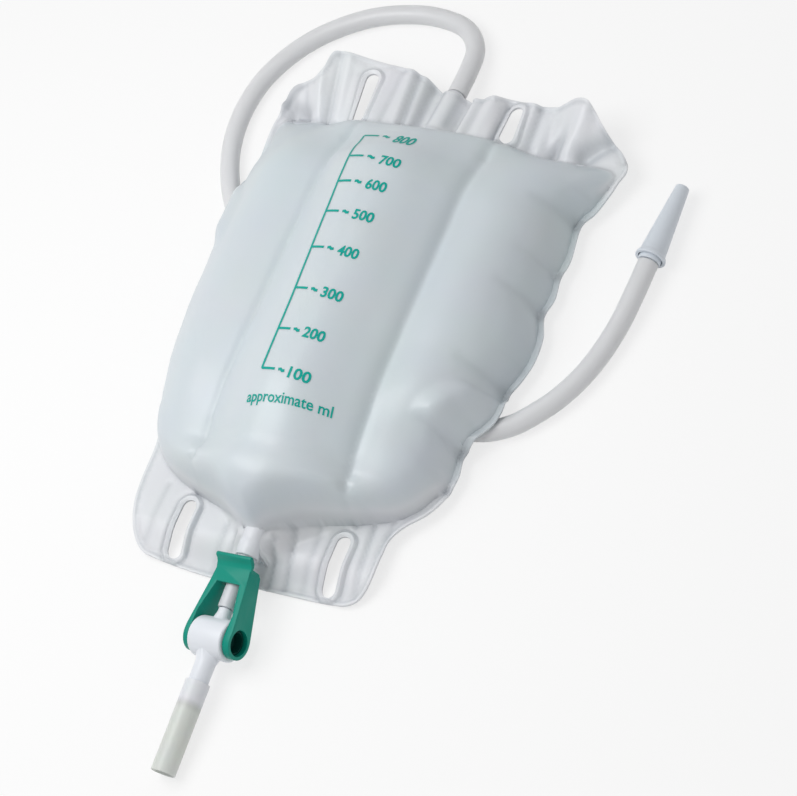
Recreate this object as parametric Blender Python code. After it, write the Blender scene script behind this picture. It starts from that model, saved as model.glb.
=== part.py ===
"""A three-chamber urine leg bag, part filled and lying on its back, with inlet tube and lever drain valve.

Lengths are in metres. X runs across the bag to its right, Y from the drain end up to the inlet end, and Z up
from the surface that the bag lies on. The bag is drawn from the middle of its bottom seam, and the finished
object is then centred on that surface.
"""

import math

import bmesh
import bpy
import numpy as np
from mathutils import Matrix, Vector
from mathutils.geometry import delaunay_2d_cdt

MM = 0.001

# Fits
SEAT_GAP = 0.3 * MM
RUNNING_GAP = 0.35 * MM

# Film bag, front and back film welded round the edge
POUCH_LENGTH = 165 * MM
POUCH_WIDTH = 134 * MM
CREST_HEIGHT = 43 * MM
DOME_ROUNDNESS = 0.6
SIDE_SEAM_HEIGHT = 5 * MM
TOP_SEAM_HEIGHT = 14 * MM
TOP_CORNER_HEIGHT = 8 * MM
BOTTOM_SEAM_HEIGHT = 5.5 * MM
BOTTOM_DOME_REACH = 52 * MM
TOP_DOME_REACH = 36 * MM
FRONT_ROLL = 7 * MM
UNDERSIDE_ROLL = 13 * MM
TOP_UNDERSIDE_ROLL = 34 * MM
TOP_ROLL_REACH = 40 * MM
SHEET_THICKNESS = 1.2 * MM
RIM_WIDTH = 2.0 * MM
FLANGE_LEAST = 4 * MM
GRID_STEP = 5.6 * MM

# How far the sheet takes to change its height along the bag
LOW_SEAM_REACH = 26 * MM
TOP_RISE_REACH = 22 * MM
CORNER_START = 24 * MM
CORNER_REACH = 20 * MM

# The two lengthwise welds that make three chambers
WELD_CENTRE = 2.5 * MM
WELD_SPACING = 55 * MM
WELD_DEPTH = 10 * MM
WELD_VALLEY_WIDTH = 25 * MM
WELD_SHARPNESS = 1.6
WELD_START = 13 * MM
WELD_END_GAP = 1 * MM
WELD_FADE = 13 * MM

# Hanging flanges and their strap slots
BOTTOM_FLANGE_DROP = 14 * MM
BOTTOM_EDGE_HEIGHT = 1.6 * MM
EDGE_WAVE_HEIGHT = 0.7 * MM
EDGE_WAVE_LENGTH = 44 * MM
SLOT_SPACING = 61 * MM
SLOT_LENGTH = 21 * MM
SLOT_WIDTH = 5.2 * MM
SLOT_RIM = 1.5 * MM
SLOT_RIM_HEIGHT = 0.5 * MM
SLOT_DRIFT = -2 * MM
BOTTOM_SLOT_Y = -1.5 * MM
TOP_SLOT_Y = 175.5 * MM
SLOT_POINTS = 5

# Inlet tube, a plain hose
TUBE_DIAMETER = 7.3 * MM
TUBE_BORE = 5.0 * MM
TUBE_FLOOR_GAP = 0.15 * MM
TUBE_COVER_GAP = 1.1 * MM
TUBE_SKIRT = 9 * MM
TUBE_COVER_END_GAP = 25 * MM
TUBE_LIFT_REACH = 14 * MM
TUBE_LIFT_FADE = 10 * MM
TUBE_POINT_STEP = 7.3 * MM

# Inlet port, welded between the films
INLET_PORT_DIAMETER = 7.9 * MM
INLET_PORT_LENGTH = 34 * MM
INLET_PORT_EDGE_HEIGHT = 8.6 * MM
INLET_PORT_SLOPE = math.radians(-8.0)
PORT_FILM = 0.9 * MM
PORT_MOUTH = 6 * MM
PORT_STAND_OUT = 0.8 * MM
PORT_LIFT_REACH = 12 * MM
PORT_LIFT_SIDE = 7.2 * MM
INLET_LIFT_REACH = 14 * MM
OUTLET_LIFT_END = 26 * MM
OUTLET_LIFT_FADE = 20 * MM

# Drain valve, drawn along its own axis and then laid down on the surface
VALVE_REACH = 37.5 * MM
VALVE_HEIGHT = 8.9 * MM
VALVE_PITCH = math.radians(5.3)
VALVE_ROLL = math.radians(9.0)

# Outlet port, a soft sleeve welded into the bottom of the bag
OUTLET_PORT_DIAMETER = 6.2 * MM
OUTLET_PORT_BORE = 4.6 * MM
OUTLET_PORT_START = 10.5 * MM
OUTLET_PORT_END = 47 * MM
OUTLET_COLLAR_OUT = 8.5 * MM
OUTLET_COLLAR_IN = 17 * MM

# Valve housing
BARREL_DIAMETER = 13.8 * MM
BARREL_LEFT = -7.0 * MM
BARREL_RIGHT = 7.3 * MM
BARREL_ROUND = 1.6 * MM
BARREL_EDGE = 0.4 * MM
BARREL_END_WALL = 1.6 * MM
CORE_BORE = 8.9 * MM
NECK_DIAMETER = 5.0 * MM
SPIGOT_LENGTH = 14 * MM
SPIGOT_BARB = 0.25 * MM
SPIGOT_BARBS = 3
SPOUT_DIAMETER = 6.9 * MM
SPOUT_LENGTH = 24 * MM
FLARE_LENGTH = 1.8 * MM
FLARE_GROWTH = 1.0 * MM
FLARE_SINK = 1.6 * MM
FLOW_BORE = 2.4 * MM

# Valve core and its two seals
CORE_CUP_DIAMETER = 7.0 * MM
CORE_CUP_DEPTH = 3.4 * MM
CORE_DRIVE_DEPTH = 1.0 * MM
CORE_WEB = 1.1 * MM
CORE_WEB_HEIGHT = 1.4 * MM
JOURNAL_DIAMETER = 4.4 * MM
SEAL_SPACING = 7.2 * MM
SEAL_THICKNESS = 0.9 * MM
SEAL_DIAMETER = 7.5 * MM
GROOVE_GAP = 0.25 * MM

# Lever, a U-shaped frame that turns the core
LEVER_HUB_RADIUS = 5.6 * MM
LEVER_HUB_THICKNESS = 2.6 * MM
LEVER_PIVOT_THICKNESS = 1.8 * MM
LEVER_FLARE_START = 2 * MM
LEVER_CENTRE = 0.4 * MM
LEVER_WIDTH = 13.6 * MM
LEVER_TOP = 4.7 * MM
LEVER_BOTTOM = -1.8 * MM
LEVER_ARM_WIDTH = 2.0 * MM
LEVER_BRIDGE_START = 18.2 * MM
LEVER_BRIDGE_THICKNESS = 1.2 * MM
LEVER_BRIDGE_LEDGE = 0.3 * MM
LEVER_PLATE_END = 24.3 * MM
LEVER_LENGTH = 27.6 * MM
TAB_HEIGHT = 2.5 * MM
TAB_OVERHANG = 0.5 * MM

# Outlet sleeve on the spout
SLEEVE_DIAMETER = 8.4 * MM
SLEEVE_START = 15.5 * MM
SLEEVE_LENGTH = 31.5 * MM

# Tapered connector and its pull-off cap
CONNECTOR_HEIGHT = 5.6 * MM
CONNECTOR_COLLAR_DIAMETER = 8.0 * MM
CONNECTOR_COLLAR_LENGTH = 4.2 * MM
CONNECTOR_ROOT_DIAMETER = 6.4 * MM
CONNECTOR_TIP_DIAMETER = 3.6 * MM
CONNECTOR_TAPER_LENGTH = 25 * MM
CONNECTOR_BORE = 2.2 * MM
CAP_LENGTH = 30 * MM
CAP_ROOT_DIAMETER = 9.3 * MM
CAP_TIP_DIAMETER = 5.0 * MM
CAP_RIM_DIAMETER = 10.9 * MM
CAP_RIM_WIDTH = 2.2 * MM
CAP_WALL = 0.9 * MM

# The pouch that the outlines below are drawn for, and its plain middle, which stretches if the pouch changes
DRAWN_LENGTH = 165 * MM
DRAWN_WIDTH = 134 * MM
STRETCH_START = 40 * MM
STRETCH_END = 150 * MM
STRETCH_SIDE = 30 * MM

# The sheet's free edge as it lies, in millimetres, X and Y from the middle of the bottom seam
BOTTOM_EDGE = (
    (-57, 31),
    (-56, 24),
    (-55.5, 14),
    (-54.4, 5.5),
    (-52, -2),
    (-49.5, -7.5),
    (-45, -12),
    (-39, -13.4),
    (-26, -14.4),
    (-12, -15),
    (4, -15),
    (18, -14.3),
    (31, -13.9),
    (37, -13),
    (41, -9.5),
    (43, -3),
    (43.2, 5),
    (43.6, 11.5),
    (47, 17.3),
    (52, 22.3),
)
RIGHT_EDGE = (
    (55.1, 26.8),
    (57.2, 32),
    (58.2, 39),
    (57.4, 46),
    (60, 51.5),
    (64.4, 58),
    (65.8, 65),
    (64.3, 71.4),
    (66.5, 78),
    (68.2, 86),
    (67.8, 95.5),
    (65.2, 103.6),
    (66.4, 111),
    (65.5, 119.5),
    (66.5, 127),
    (65.3, 140.5),
    (68.5, 146.5),
    (71.7, 154),
)
TOP_EDGE = (
    (73.4, 159, 5.5),
    (75, 164, 6.5),
    (72.6, 169, 8),
    (67.3, 173.4, 11),
    (63.6, 176.3, 14),
    (59.5, 180.5, 17),
    (56.3, 183, 20),
    (51.6, 183.6, 19),
    (46.8, 182.6, 16),
    (41.2, 182.7, 12),
    (34.9, 181.8, 15),
    (25.1, 183.8, 12),
    (18.8, 182.5, 15),
    (10.5, 182, 12.5),
    (5.5, 183.4, 9.3),
    (0, 183.8, 8.8),
    (-5, 185, 9.3),
    (-9.5, 187.6, 11.5),
    (-16.6, 189.2, 15),
    (-26, 190.7, 14),
    (-34.3, 191.3, 15),
    (-42, 191.3, 17.5),
    (-49.4, 190.4, 19),
    (-51.8, 184.2, 17.5),
    (-55.4, 180.3, 15),
    (-59.8, 178.9, 13),
    (-62.6, 175.8, 14),
    (-65, 171.2, 13),
    (-67.4, 165, 10.5),
    (-68.3, 157, 7.5),
)
LEFT_EDGE = (
    (-68.6, 146),
    (-69, 130),
    (-69.6, 112),
    (-69, 94),
    (-67.8, 77),
    (-65.6, 60),
    (-62.6, 47),
    (-59, 38),
)

# The weld across each end of the pouch, in millimetres
BOTTOM_SEAM = (
    (-57.5, 33),
    (-53.5, 25.5),
    (-47, 19),
    (-38, 14),
    (-27, 10.3),
    (-16, 7),
    (-8, 2.8),
    (0, 0),
    (8, 4.2),
    (16, 8.8),
    (27, 12.6),
    (37, 15.8),
    (44, 18.8),
    (49.5, 23.5),
    (53.2, 29),
)
TOP_SEAM = (
    (71.2, 157.5),
    (71.3, 161.5),
    (66, 163.3),
    (45, 163.7),
    (20, 165),
    (0, 166),
    (-22, 165.8),
    (-48, 165.6),
    (-60, 165.6),
    (-65, 162.3),
    (-66.3, 157),
)

# The tube's centre line: X and Y in millimetres, and height above the tube's rest
TUBE_ROUTE = (
    (0, 185.1, 4.6),
    (-0.2, 190.5, 3.9),
    (-0.7, 197, 2.6),
    (-2.6, 208.5, 0.8),
    (-8.8, 217, 0.1),
    (-18, 221, 0),
    (-32, 222.2, 0),
    (-49.7, 218.7, 0),
    (-65.7, 209.7, 0),
    (-76.7, 198.3, 0),
    (-84, 184, 0),
    (-86.2, 169.2, 0),
    (-84.7, 155.3, 0),
    (-80.6, 143, 0),
    (-74, 131, 0),
    (-64, 118, 0),
    (-51, 104.5, 0),
    (-35, 91.5, 0),
    (-16, 79.5, 0),
    (5, 69, 0),
    (26, 61, 0),
    (44, 56.8, 0),
    (58.5, 57.3, 0),
    (68.2, 61.5, 0),
    (74.5, 67.3, 0),
    (80.4, 74.5, 0),
    (85.6, 84, 0),
    (89.3, 94.8, 0),
    (91.8, 106.7, 0.4),
    (93.3, 119.5, 1.4),
    (94, 130.5, 1.8),
)


def clear_scene():
    for item in list(bpy.data.objects):
        bpy.data.objects.remove(item, do_unlink=True)


def plastic(name, colour, roughness, transmission=0.0):
    material = bpy.data.materials.new(name)
    material.use_nodes = True
    shader = material.node_tree.nodes["Principled BSDF"]
    shader.inputs["Base Color"].default_value = (*colour, 1)
    shader.inputs["Roughness"].default_value = roughness
    shader.inputs["Metallic"].default_value = 0
    shader.inputs["Transmission Weight"].default_value = transmission
    return material


def add_object(name, mesh, material, parent=None, smooth_angle=math.radians(40)):
    mesh.shade_smooth()
    mesh.set_sharp_from_angle(angle=smooth_angle)
    mesh.materials.append(material)
    item = bpy.data.objects.new(name, mesh)
    bpy.context.scene.collection.objects.link(item)
    item.parent = parent
    return item


def mesh_from(bm, name):
    bmesh.ops.recalc_face_normals(bm, faces=bm.faces)
    if bm.calc_volume(signed=True) < 0:
        bmesh.ops.reverse_faces(bm, faces=bm.faces)
    mesh = bpy.data.meshes.new(name)
    bm.to_mesh(mesh)
    bm.free()
    return mesh


def rings_of(bm, profile, segments, axis_matrix):
    """Circles of points round an axis, one for each (distance along the axis, radius) point."""
    rings = []
    for along, radius in profile:
        ring = []
        for i in range(segments):
            angle = 2 * math.pi * i / segments
            place = Vector((radius * math.cos(angle), radius * math.sin(angle), along))
            ring.append(bm.verts.new(axis_matrix @ place))
        rings.append(ring)
    return rings


def join_rings(bm, rings):
    for low, high in zip(rings, rings[1:]):
        for i in range(len(low)):
            j = (i + 1) % len(low)
            bm.faces.new((low[i], low[j], high[j], high[i]))


def turned(profile, segments, axis_matrix):
    """A solid turned from a profile, closed by a flat disc at each end."""
    bm = bmesh.new()
    rings = rings_of(bm, profile, segments, axis_matrix)
    join_rings(bm, rings)
    bm.faces.new(rings[0])
    bm.faces.new(rings[-1])
    return bm


def turned_ring(profile, segments, axis_matrix):
    """A ring turned from a profile that goes all the way round, such as a seal or the wall of a tube."""
    bm = bmesh.new()
    rings = rings_of(bm, profile, segments, axis_matrix)
    join_rings(bm, [*rings, rings[0]])
    return bm


def tube_wall(outer, inner, segments, axis_matrix):
    """A hollow turned piece: an outer profile and an inner one, joined by flat rings at both ends."""
    return turned_ring([*outer, *reversed(inner)], segments, axis_matrix)


ALONG_Y = Matrix.Rotation(math.radians(-90), 4, "X")
ALONG_X = Matrix.Rotation(math.radians(90), 4, "Y")


def boolean(target, cutter, operation):
    modifier = target.modifiers.new(operation.title() + "_" + cutter.name, "BOOLEAN")
    modifier.operation = operation
    modifier.solver = "EXACT"
    modifier.object = cutter
    cutter.hide_render = True
    cutter.display_type = "WIRE"
    cutter.hide_set(True)


def helper(name, bm, parent=None):
    """A cutter or a shape to join, which is no piece of its own."""
    item = bpy.data.objects.new(name, mesh_from(bm, name))
    bpy.context.scene.collection.objects.link(item)
    item.parent = parent
    return item


def smooth_curve(points, step):
    """Points about one step apart on a smooth curve through the given ones."""
    given = np.array(points, float)
    ends = np.vstack([2 * given[0] - given[1], given, 2 * given[-1] - given[-2]])
    fine = []
    for k in range(1, len(ends) - 2):
        before, start, stop, after = ends[k - 1], ends[k], ends[k + 1], ends[k + 2]
        for t in np.linspace(0, 1, 24, endpoint=False):
            fine.append(
                0.5
                * (
                    2 * start
                    + (stop - before) * t
                    + (2 * before - 5 * start + 4 * stop - after) * t**2
                    + (3 * start - before - 3 * stop + after) * t**3
                )
            )
    fine.append(given[-1])
    fine = np.array(fine)
    run = np.concatenate([[0], np.cumsum(np.linalg.norm(np.diff(fine, axis=0), axis=1))])
    at = np.linspace(0, run[-1], max(2, round(run[-1] / step) + 1))
    return np.stack([np.interp(at, run, fine[:, k]) for k in range(fine.shape[1])], axis=1)


def distance_to(line, x, y):
    """How far plan points lie from an open line."""
    start, step = line[:-1], np.diff(line, axis=0)
    point = np.stack([np.ravel(x), np.ravel(y)], axis=1)
    best = np.full(len(point), np.inf)
    for a, d in zip(start, step):
        share = np.clip(((point - a) @ d) / max(d @ d, 1e-12), 0, 1)
        best = np.minimum(best, np.linalg.norm(point - a - share[:, None] * d, axis=1))
    return best.reshape(np.shape(x))


def inside(loop, x, y):
    """Whether plan points lie inside a closed loop."""
    crossings = np.zeros(np.shape(x), int)
    for (ax, ay), (bx, by) in zip(loop, np.roll(loop, -1, axis=0)):
        spans = (ay > y) != (by > y)
        if by != ay:
            crossings += spans & (x < ax + (y - ay) * (bx - ax) / (by - ay))
    return crossings % 2 == 1


def moved_inwards(loop, distance):
    """A closed anticlockwise loop moved inwards by a distance."""
    before, after = np.roll(loop, 1, axis=0), np.roll(loop, -1, axis=0)
    along = after - before
    along /= np.linalg.norm(along, axis=1)[:, None]
    return loop + distance * np.stack([-along[:, 1], along[:, 0]], axis=1)


def drawn(points):
    """Outline points in metres, with the plain middle of the bag stretched to the pouch's size."""
    placed = np.array(points, float) * MM
    share = np.clip((placed[:, 1] - STRETCH_START) / (STRETCH_END - STRETCH_START), 0, 1)
    placed[:, 1] += share * (POUCH_LENGTH - DRAWN_LENGTH)
    placed[:, 0] += np.clip(placed[:, 0] / STRETCH_SIDE, -1, 1) * (POUCH_WIDTH - DRAWN_WIDTH) / 2
    return placed


def sheet_edge(step):
    """The free edge of the whole sheet, anticlockwise."""
    top = [(x, y) for x, y, _ in TOP_EDGE]
    return smooth_curve(drawn([*BOTTOM_EDGE, *RIGHT_EDGE, *top, *LEFT_EDGE, BOTTOM_EDGE[0]]), step)[:-1]


def rim_points(edge, side, stations):
    """The inner line of the welded rim along one side, between the first and the last of its stations."""
    low, high = sorted(drawn([stations[0], stations[-1]])[:, 1])
    return [p for p in moved_inwards(edge, RIM_WIDTH) if p[0] * side > 0 and low < p[1] < high]


def seam_loop(step):
    """The line where the pouch meets the welded rim and the flanges, anticlockwise."""
    edge = sheet_edge(step)
    right = rim_points(edge, 1, RIGHT_EDGE)
    left = rim_points(edge, -1, LEFT_EDGE)
    bottom = drawn(BOTTOM_SEAM)
    loop = smooth_curve([*bottom, *right[1:-1:3], *drawn(TOP_SEAM), *left[1:-1:3], bottom[0]], step)
    return loop[:-1]


def slot_centres():
    rows = drawn([(0, BOTTOM_SLOT_Y / MM), (0, TOP_SLOT_Y / MM)])[:, 1]
    return [(SLOT_DRIFT + side * SLOT_SPACING / 2, y) for y in rows for side in (-1, 1)]


def slot_loop(centre, grown=0.0):
    """A round-ended slot, anticlockwise."""
    radius = SLOT_WIDTH / 2 + grown
    straight = (SLOT_LENGTH - SLOT_WIDTH) / 2
    points = []
    for end, start in ((1, 0.0), (-1, math.pi)):
        for angle in np.linspace(start, start + math.pi, SLOT_POINTS):
            along = end * straight + radius * math.sin(angle)
            points.append((centre[0] + radius * math.cos(angle), centre[1] + along))
    return np.array(points)


def weld_x(side):
    return WELD_CENTRE + side * WELD_SPACING / 2


def tube_line(step=TUBE_POINT_STEP):
    """The tube's centre line in the bag's own frame."""
    points = drawn(TUBE_ROUTE)
    points[:, 2] += TUBE_DIAMETER / 2 + TUBE_FLOOR_GAP
    return smooth_curve(points, step)


def half_widths_at(seam, x, y):
    """Half the pouch's width for each Y, on the side that X is on."""
    rows = np.linspace(0, POUCH_LENGTH, 90)
    sides = []
    for side in (-1, 1):
        line = seam[seam[:, 0] * side > 0]
        best = [np.max(np.where(np.abs(line[:, 1] - row) < GRID_STEP, line[:, 0] * side, 0)) for row in rows]
        smooth = np.convolve(np.pad(best, 2, mode="edge"), np.ones(5) / 5, mode="valid")
        sides.append(np.interp(y, rows, np.maximum(smooth, FLANGE_LEAST)))
    return np.where(x < 0, sides[0], sides[1])


def quarter_round(share):
    """Rises from 0 to 1 as a quarter of an ellipse."""
    share = np.clip(share, 0, 1)
    return np.sqrt(1 - (1 - share) ** 2)


def ease(share):
    share = np.clip(share, 0, 1)
    return share * share * (3 - 2 * share)


def port_axis_height(y):
    """The height of the outlet port's centre line over a Y."""
    return VALVE_HEIGHT + (y + VALVE_REACH) * math.tan(VALVE_PITCH)


def inlet_edge_y():
    """Where the inlet port leaves the top edge of the sheet."""
    middle = min(TOP_EDGE, key=lambda point: abs(point[0]))
    return drawn([middle])[0, 1]


def inlet_axis_height(y):
    return INLET_PORT_EDGE_HEIGHT + (y - inlet_edge_y()) * math.tan(INLET_PORT_SLOPE)


def sheet_height(x, y):
    """The middle of the welded sheet: the flanges with their folds, and the seam round the pouch."""
    height = SIDE_SEAM_HEIGHT + (BOTTOM_SEAM_HEIGHT - SIDE_SEAM_HEIGHT) * ease(1 - y / LOW_SEAM_REACH)
    edge = BOTTOM_EDGE_HEIGHT + EDGE_WAVE_HEIGHT * np.cos(2 * math.pi * x / EDGE_WAVE_LENGTH)
    height = height + (edge - height) * ease(-y / BOTTOM_FLANGE_DROP)
    corner = ease((np.abs(x) - CORNER_START) / CORNER_REACH)
    seam_top = TOP_SEAM_HEIGHT + (TOP_CORNER_HEIGHT - TOP_SEAM_HEIGHT) * corner
    height = height + (seam_top - height) * ease(1 - (POUCH_LENGTH - y) / TOP_RISE_REACH)
    edge_line = drawn(TOP_EDGE[:0:-1])
    edge_y = np.interp(x, edge_line[:, 0], edge_line[:, 1])
    edge_z = np.interp(x, edge_line[:, 0], edge_line[:, 2])
    share = np.clip((y - POUCH_LENGTH) / np.maximum(edge_y - POUCH_LENGTH, FLANGE_LEAST), 0, 1)
    height = height + (edge_z - seam_top) * share
    near_port = ease((PORT_LIFT_REACH - np.abs(x)) / PORT_LIFT_SIDE)
    inlet = near_port * ease(1 - (POUCH_LENGTH - y) / INLET_LIFT_REACH)
    height = height + inlet * (inlet_axis_height(y) - height)
    entry = ease(1 + 2 * y / PORT_LIFT_REACH)
    outlet = near_port * entry * ease((OUTLET_LIFT_END - y) / OUTLET_LIFT_FADE)
    return height + outlet * (port_axis_height(y) - height)


def dome_height(seam, x, y):
    """How far the front film stands above the seam."""
    across = np.clip(np.abs(x) / half_widths_at(seam, x, y), 0, 1)
    dome = (CREST_HEIGHT - SIDE_SEAM_HEIGHT) * (1 - across**2) ** DOME_ROUNDNESS
    ends = ease((y - WELD_START) / WELD_FADE) * ease((POUCH_LENGTH - WELD_END_GAP - y) / WELD_FADE)
    for side in (-1, 1):
        away = np.abs(x - weld_x(side)) / WELD_VALLEY_WIDTH
        dome = dome - WELD_DEPTH * ends * np.clip(1 - away, 0, 1) ** WELD_SHARPNESS
    top = 1 - (1 - np.clip((POUCH_LENGTH + 0.5 * MM - y) / TOP_DOME_REACH, 0, 1)) ** 2
    return np.maximum(dome, 0) * quarter_round(y / BOTTOM_DOME_REACH) * top


def film_heights(x, y, seam, tube):
    """The height of the front and of the back surface at plan points."""
    middle = sheet_height(x, y)
    in_pouch = inside(seam, x, y)
    to_seam = distance_to(np.vstack([seam, seam[:1]]), x, y)
    from_seam = np.where(in_pouch, to_seam, 0)
    near_tube = distance_to(tube[:, :2], x, y)
    cover = ease((TUBE_DIAMETER / 2 + TUBE_COVER_GAP + TUBE_SKIRT - near_tube) / TUBE_SKIRT)
    cover = np.where(y < POUCH_LENGTH - TUBE_COVER_END_GAP, cover, 0)
    roof = cover * (TUBE_DIAMETER + TUBE_FLOOR_GAP + TUBE_COVER_GAP)
    lifted = np.maximum(middle, roof + SHEET_THICKNESS / 2)
    middle = middle + (lifted - middle) * ease((TUBE_LIFT_REACH - to_seam) / TUBE_LIFT_FADE)
    entry = quarter_round(from_seam / FRONT_ROLL)
    front = middle + SHEET_THICKNESS / 2 + entry * dome_height(seam, x, y)
    at_top = ease(1 - (POUCH_LENGTH - y) / TOP_ROLL_REACH)
    roll = UNDERSIDE_ROLL + (TOP_UNDERSIDE_ROLL - UNDERSIDE_ROLL) * at_top
    back = (middle - SHEET_THICKNESS / 2) * (1 - quarter_round(from_seam / roll))
    back = np.maximum(back, roof)
    return np.maximum(front, back + SHEET_THICKNESS), np.maximum(back, 0)


def film_grid(step):
    """The plan triangles of the bag: points, triangles and the loops that bound them."""
    outer = sheet_edge(0.8 * step)
    seam = seam_loop(0.9 * step)
    slots = [slot_loop(c) for c in slot_centres()]
    rims = [slot_loop(c, SLOT_RIM) for c in slot_centres()]
    tube = tube_line(0.9 * step)
    points = []
    edges = []

    def add(line, closed):
        start = len(points)
        points.extend(Vector(p[:2]) for p in line)
        count = len(line)
        edges.extend((start + i, start + (i + 1) % count) for i in range(count if closed else count - 1))

    add(outer, True)
    for loop in slots:
        add(loop, True)
    extra = [*seam]
    for inwards in (1.3, 3.6, 7, 12):
        extra += [*moved_inwards(seam, inwards * MM)]
    for loop in rims:
        extra += [*loop]
    for side in (-1, 1):
        for y in np.arange(WELD_START, POUCH_LENGTH - WELD_END_GAP, 0.9 * step):
            extra += [(weld_x(side) + away * step, y) for away in (-1, 0, 1)]
    along = np.gradient(tube[:, :2], axis=0)
    along /= np.linalg.norm(along, axis=1)[:, None]
    beside = (TUBE_DIAMETER / 2 + 1 * MM) * np.stack([-along[:, 1], along[:, 0]], axis=1)
    for away in (-1, 0, 1):
        extra += [*(tube[:, :2] + away * beside)]
    shaped = len(extra)
    low, high = outer.min(axis=0), outer.max(axis=0)
    for k, y in enumerate(np.arange(low[1], high[1], step * math.sqrt(3) / 2)):
        extra += [(x, y) for x in np.arange(low[0] + (k % 2) * step / 2, high[0], step)]
    extra = np.array(extra, float)
    bounds = np.vstack([outer, *slots])
    good = inside(outer, extra[:, 0], extra[:, 1])
    for loop in slots:
        good &= ~inside(loop, extra[:, 0], extra[:, 1])
    kept = [*bounds]
    for i, point in enumerate(extra):
        clear = 0.25 * step if i < shaped else 0.62 * step
        if good[i] and np.min(np.linalg.norm(np.array(kept) - point, axis=1)) > clear:
            kept.append(point)
    points.extend(Vector(p) for p in kept[len(bounds):])
    made = delaunay_2d_cdt(points, edges, [], 1, 1e-7)
    plan = np.array([tuple(v) for v in made[0]])
    faces = np.array([f for f in made[2] if len(f) == 3])
    centre = plan[faces].mean(axis=1)
    keep = inside(outer, centre[:, 0], centre[:, 1])
    for loop in slots:
        keep &= ~inside(loop, centre[:, 0], centre[:, 1])
    return plan, faces[keep], seam, tube, rims, slots


def film_solid(step):
    """The bag as one closed mesh: the front surface, the back surface, and a wall round every free edge."""
    plan, faces, seam, tube, rims, slots = film_grid(step)
    x, y = plan[:, 0], plan[:, 1]
    front, back = film_heights(x, y, seam, tube)
    for rim, slot in zip(rims, slots):
        away = distance_to(np.vstack([rim, rim[:1]]), x, y)
        front = front + SLOT_RIM_HEIGHT * (away < 0.4 * MM)
    a, b, c = (plan[faces[:, k]] for k in range(3))
    turn = (b - a)[:, 0] * (c - a)[:, 1] - (b - a)[:, 1] * (c - a)[:, 0]
    faces[turn < 0] = faces[turn < 0][:, ::-1]
    bm = bmesh.new()
    upper = [bm.verts.new((px, py, pz)) for px, py, pz in zip(x, y, front)]
    lower = [bm.verts.new((px, py, pz)) for px, py, pz in zip(x, y, back)]
    used = set()
    for i, j, k in faces.tolist():
        bm.faces.new((upper[i], upper[j], upper[k]))
        bm.faces.new((lower[k], lower[j], lower[i]))
        used.update(((i, j), (j, k), (k, i)))
    for i, j in used:
        if (j, i) not in used:
            bm.faces.new((upper[j], upper[i], lower[i], lower[j]))
    bmesh.ops.delete(bm, geom=[v for v in bm.verts if not v.link_faces], context="VERTS")
    return bm


def make_bag(film):
    return add_object("bag", mesh_from(film_solid(GRID_STEP), "bag"), film, smooth_angle=math.radians(60))


def frame_at(name, matrix):
    empty = bpy.data.objects.new(name, None)
    empty.matrix_world = matrix
    bpy.context.scene.collection.objects.link(empty)
    return empty


def make_inlet(bag, white):
    """The inlet port between the films, with the film drawn tight round it."""
    place = Matrix.Translation((0, inlet_edge_y(), INLET_PORT_EDGE_HEIGHT))
    empty = frame_at("inlet_frame", place @ Matrix.Rotation(INLET_PORT_SLOPE, 4, "X"))
    radius = INLET_PORT_DIAMETER / 2
    start = -INLET_PORT_LENGTH
    sleeve = turned([(start - 2 * MM, radius + PORT_FILM), (0.0, radius + PORT_FILM)], 20, ALONG_Y)
    boolean(bag, helper("inlet_film", sleeve, empty), "UNION")
    pocket = turned([(start - SEAT_GAP, radius + SEAT_GAP), (PORT_MOUTH, radius + SEAT_GAP)], 20, ALONG_Y)
    boolean(bag, helper("inlet_pocket", pocket, empty), "DIFFERENCE")
    outer = [(start, radius - 0.4 * MM), (start + 0.6 * MM, radius), (PORT_STAND_OUT, radius)]
    inner = [(start, TUBE_BORE / 2), (PORT_STAND_OUT, TUBE_BORE / 2)]
    add_object("inlet_port", mesh_from(tube_wall(outer, inner, 20, ALONG_Y), "inlet_port"), white, empty)


def make_outlet_port(bag, valve, white):
    """The outlet port, with a collar of film round it where it leaves the pouch."""
    radius = OUTLET_PORT_DIAMETER / 2
    seam = VALVE_REACH / math.cos(VALVE_PITCH)
    start, stop = seam - OUTLET_COLLAR_OUT, seam + OUTLET_COLLAR_IN
    collar = turned([(start, radius + PORT_FILM), (stop, radius + PORT_FILM)], 24, ALONG_Y)
    boolean(bag, helper("outlet_film", collar, valve), "UNION")
    start, stop = OUTLET_PORT_START, OUTLET_PORT_END + SEAT_GAP
    pocket = turned([(start, radius + SEAT_GAP), (stop, radius + SEAT_GAP)], 24, ALONG_Y)
    boolean(bag, helper("outlet_pocket", pocket, valve), "DIFFERENCE")
    outer = [(start, radius - 0.3 * MM), (start + 0.5 * MM, radius), (OUTLET_PORT_END, radius)]
    inner = [(start, OUTLET_PORT_BORE / 2), (OUTLET_PORT_END, OUTLET_PORT_BORE / 2)]
    add_object("outlet_port", mesh_from(tube_wall(outer, inner, 24, ALONG_Y), "outlet_port"), white, valve)


def flared_stem(side, radius):
    """The foot of a stem that grows out of the barrel on one side of it."""
    barrel = BARREL_DIAMETER / 2
    return [
        (0, radius + FLARE_GROWTH),
        (side * (barrel - FLARE_SINK), radius + FLARE_GROWTH),
        (side * (barrel + FLARE_LENGTH), radius),
    ]


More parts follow.
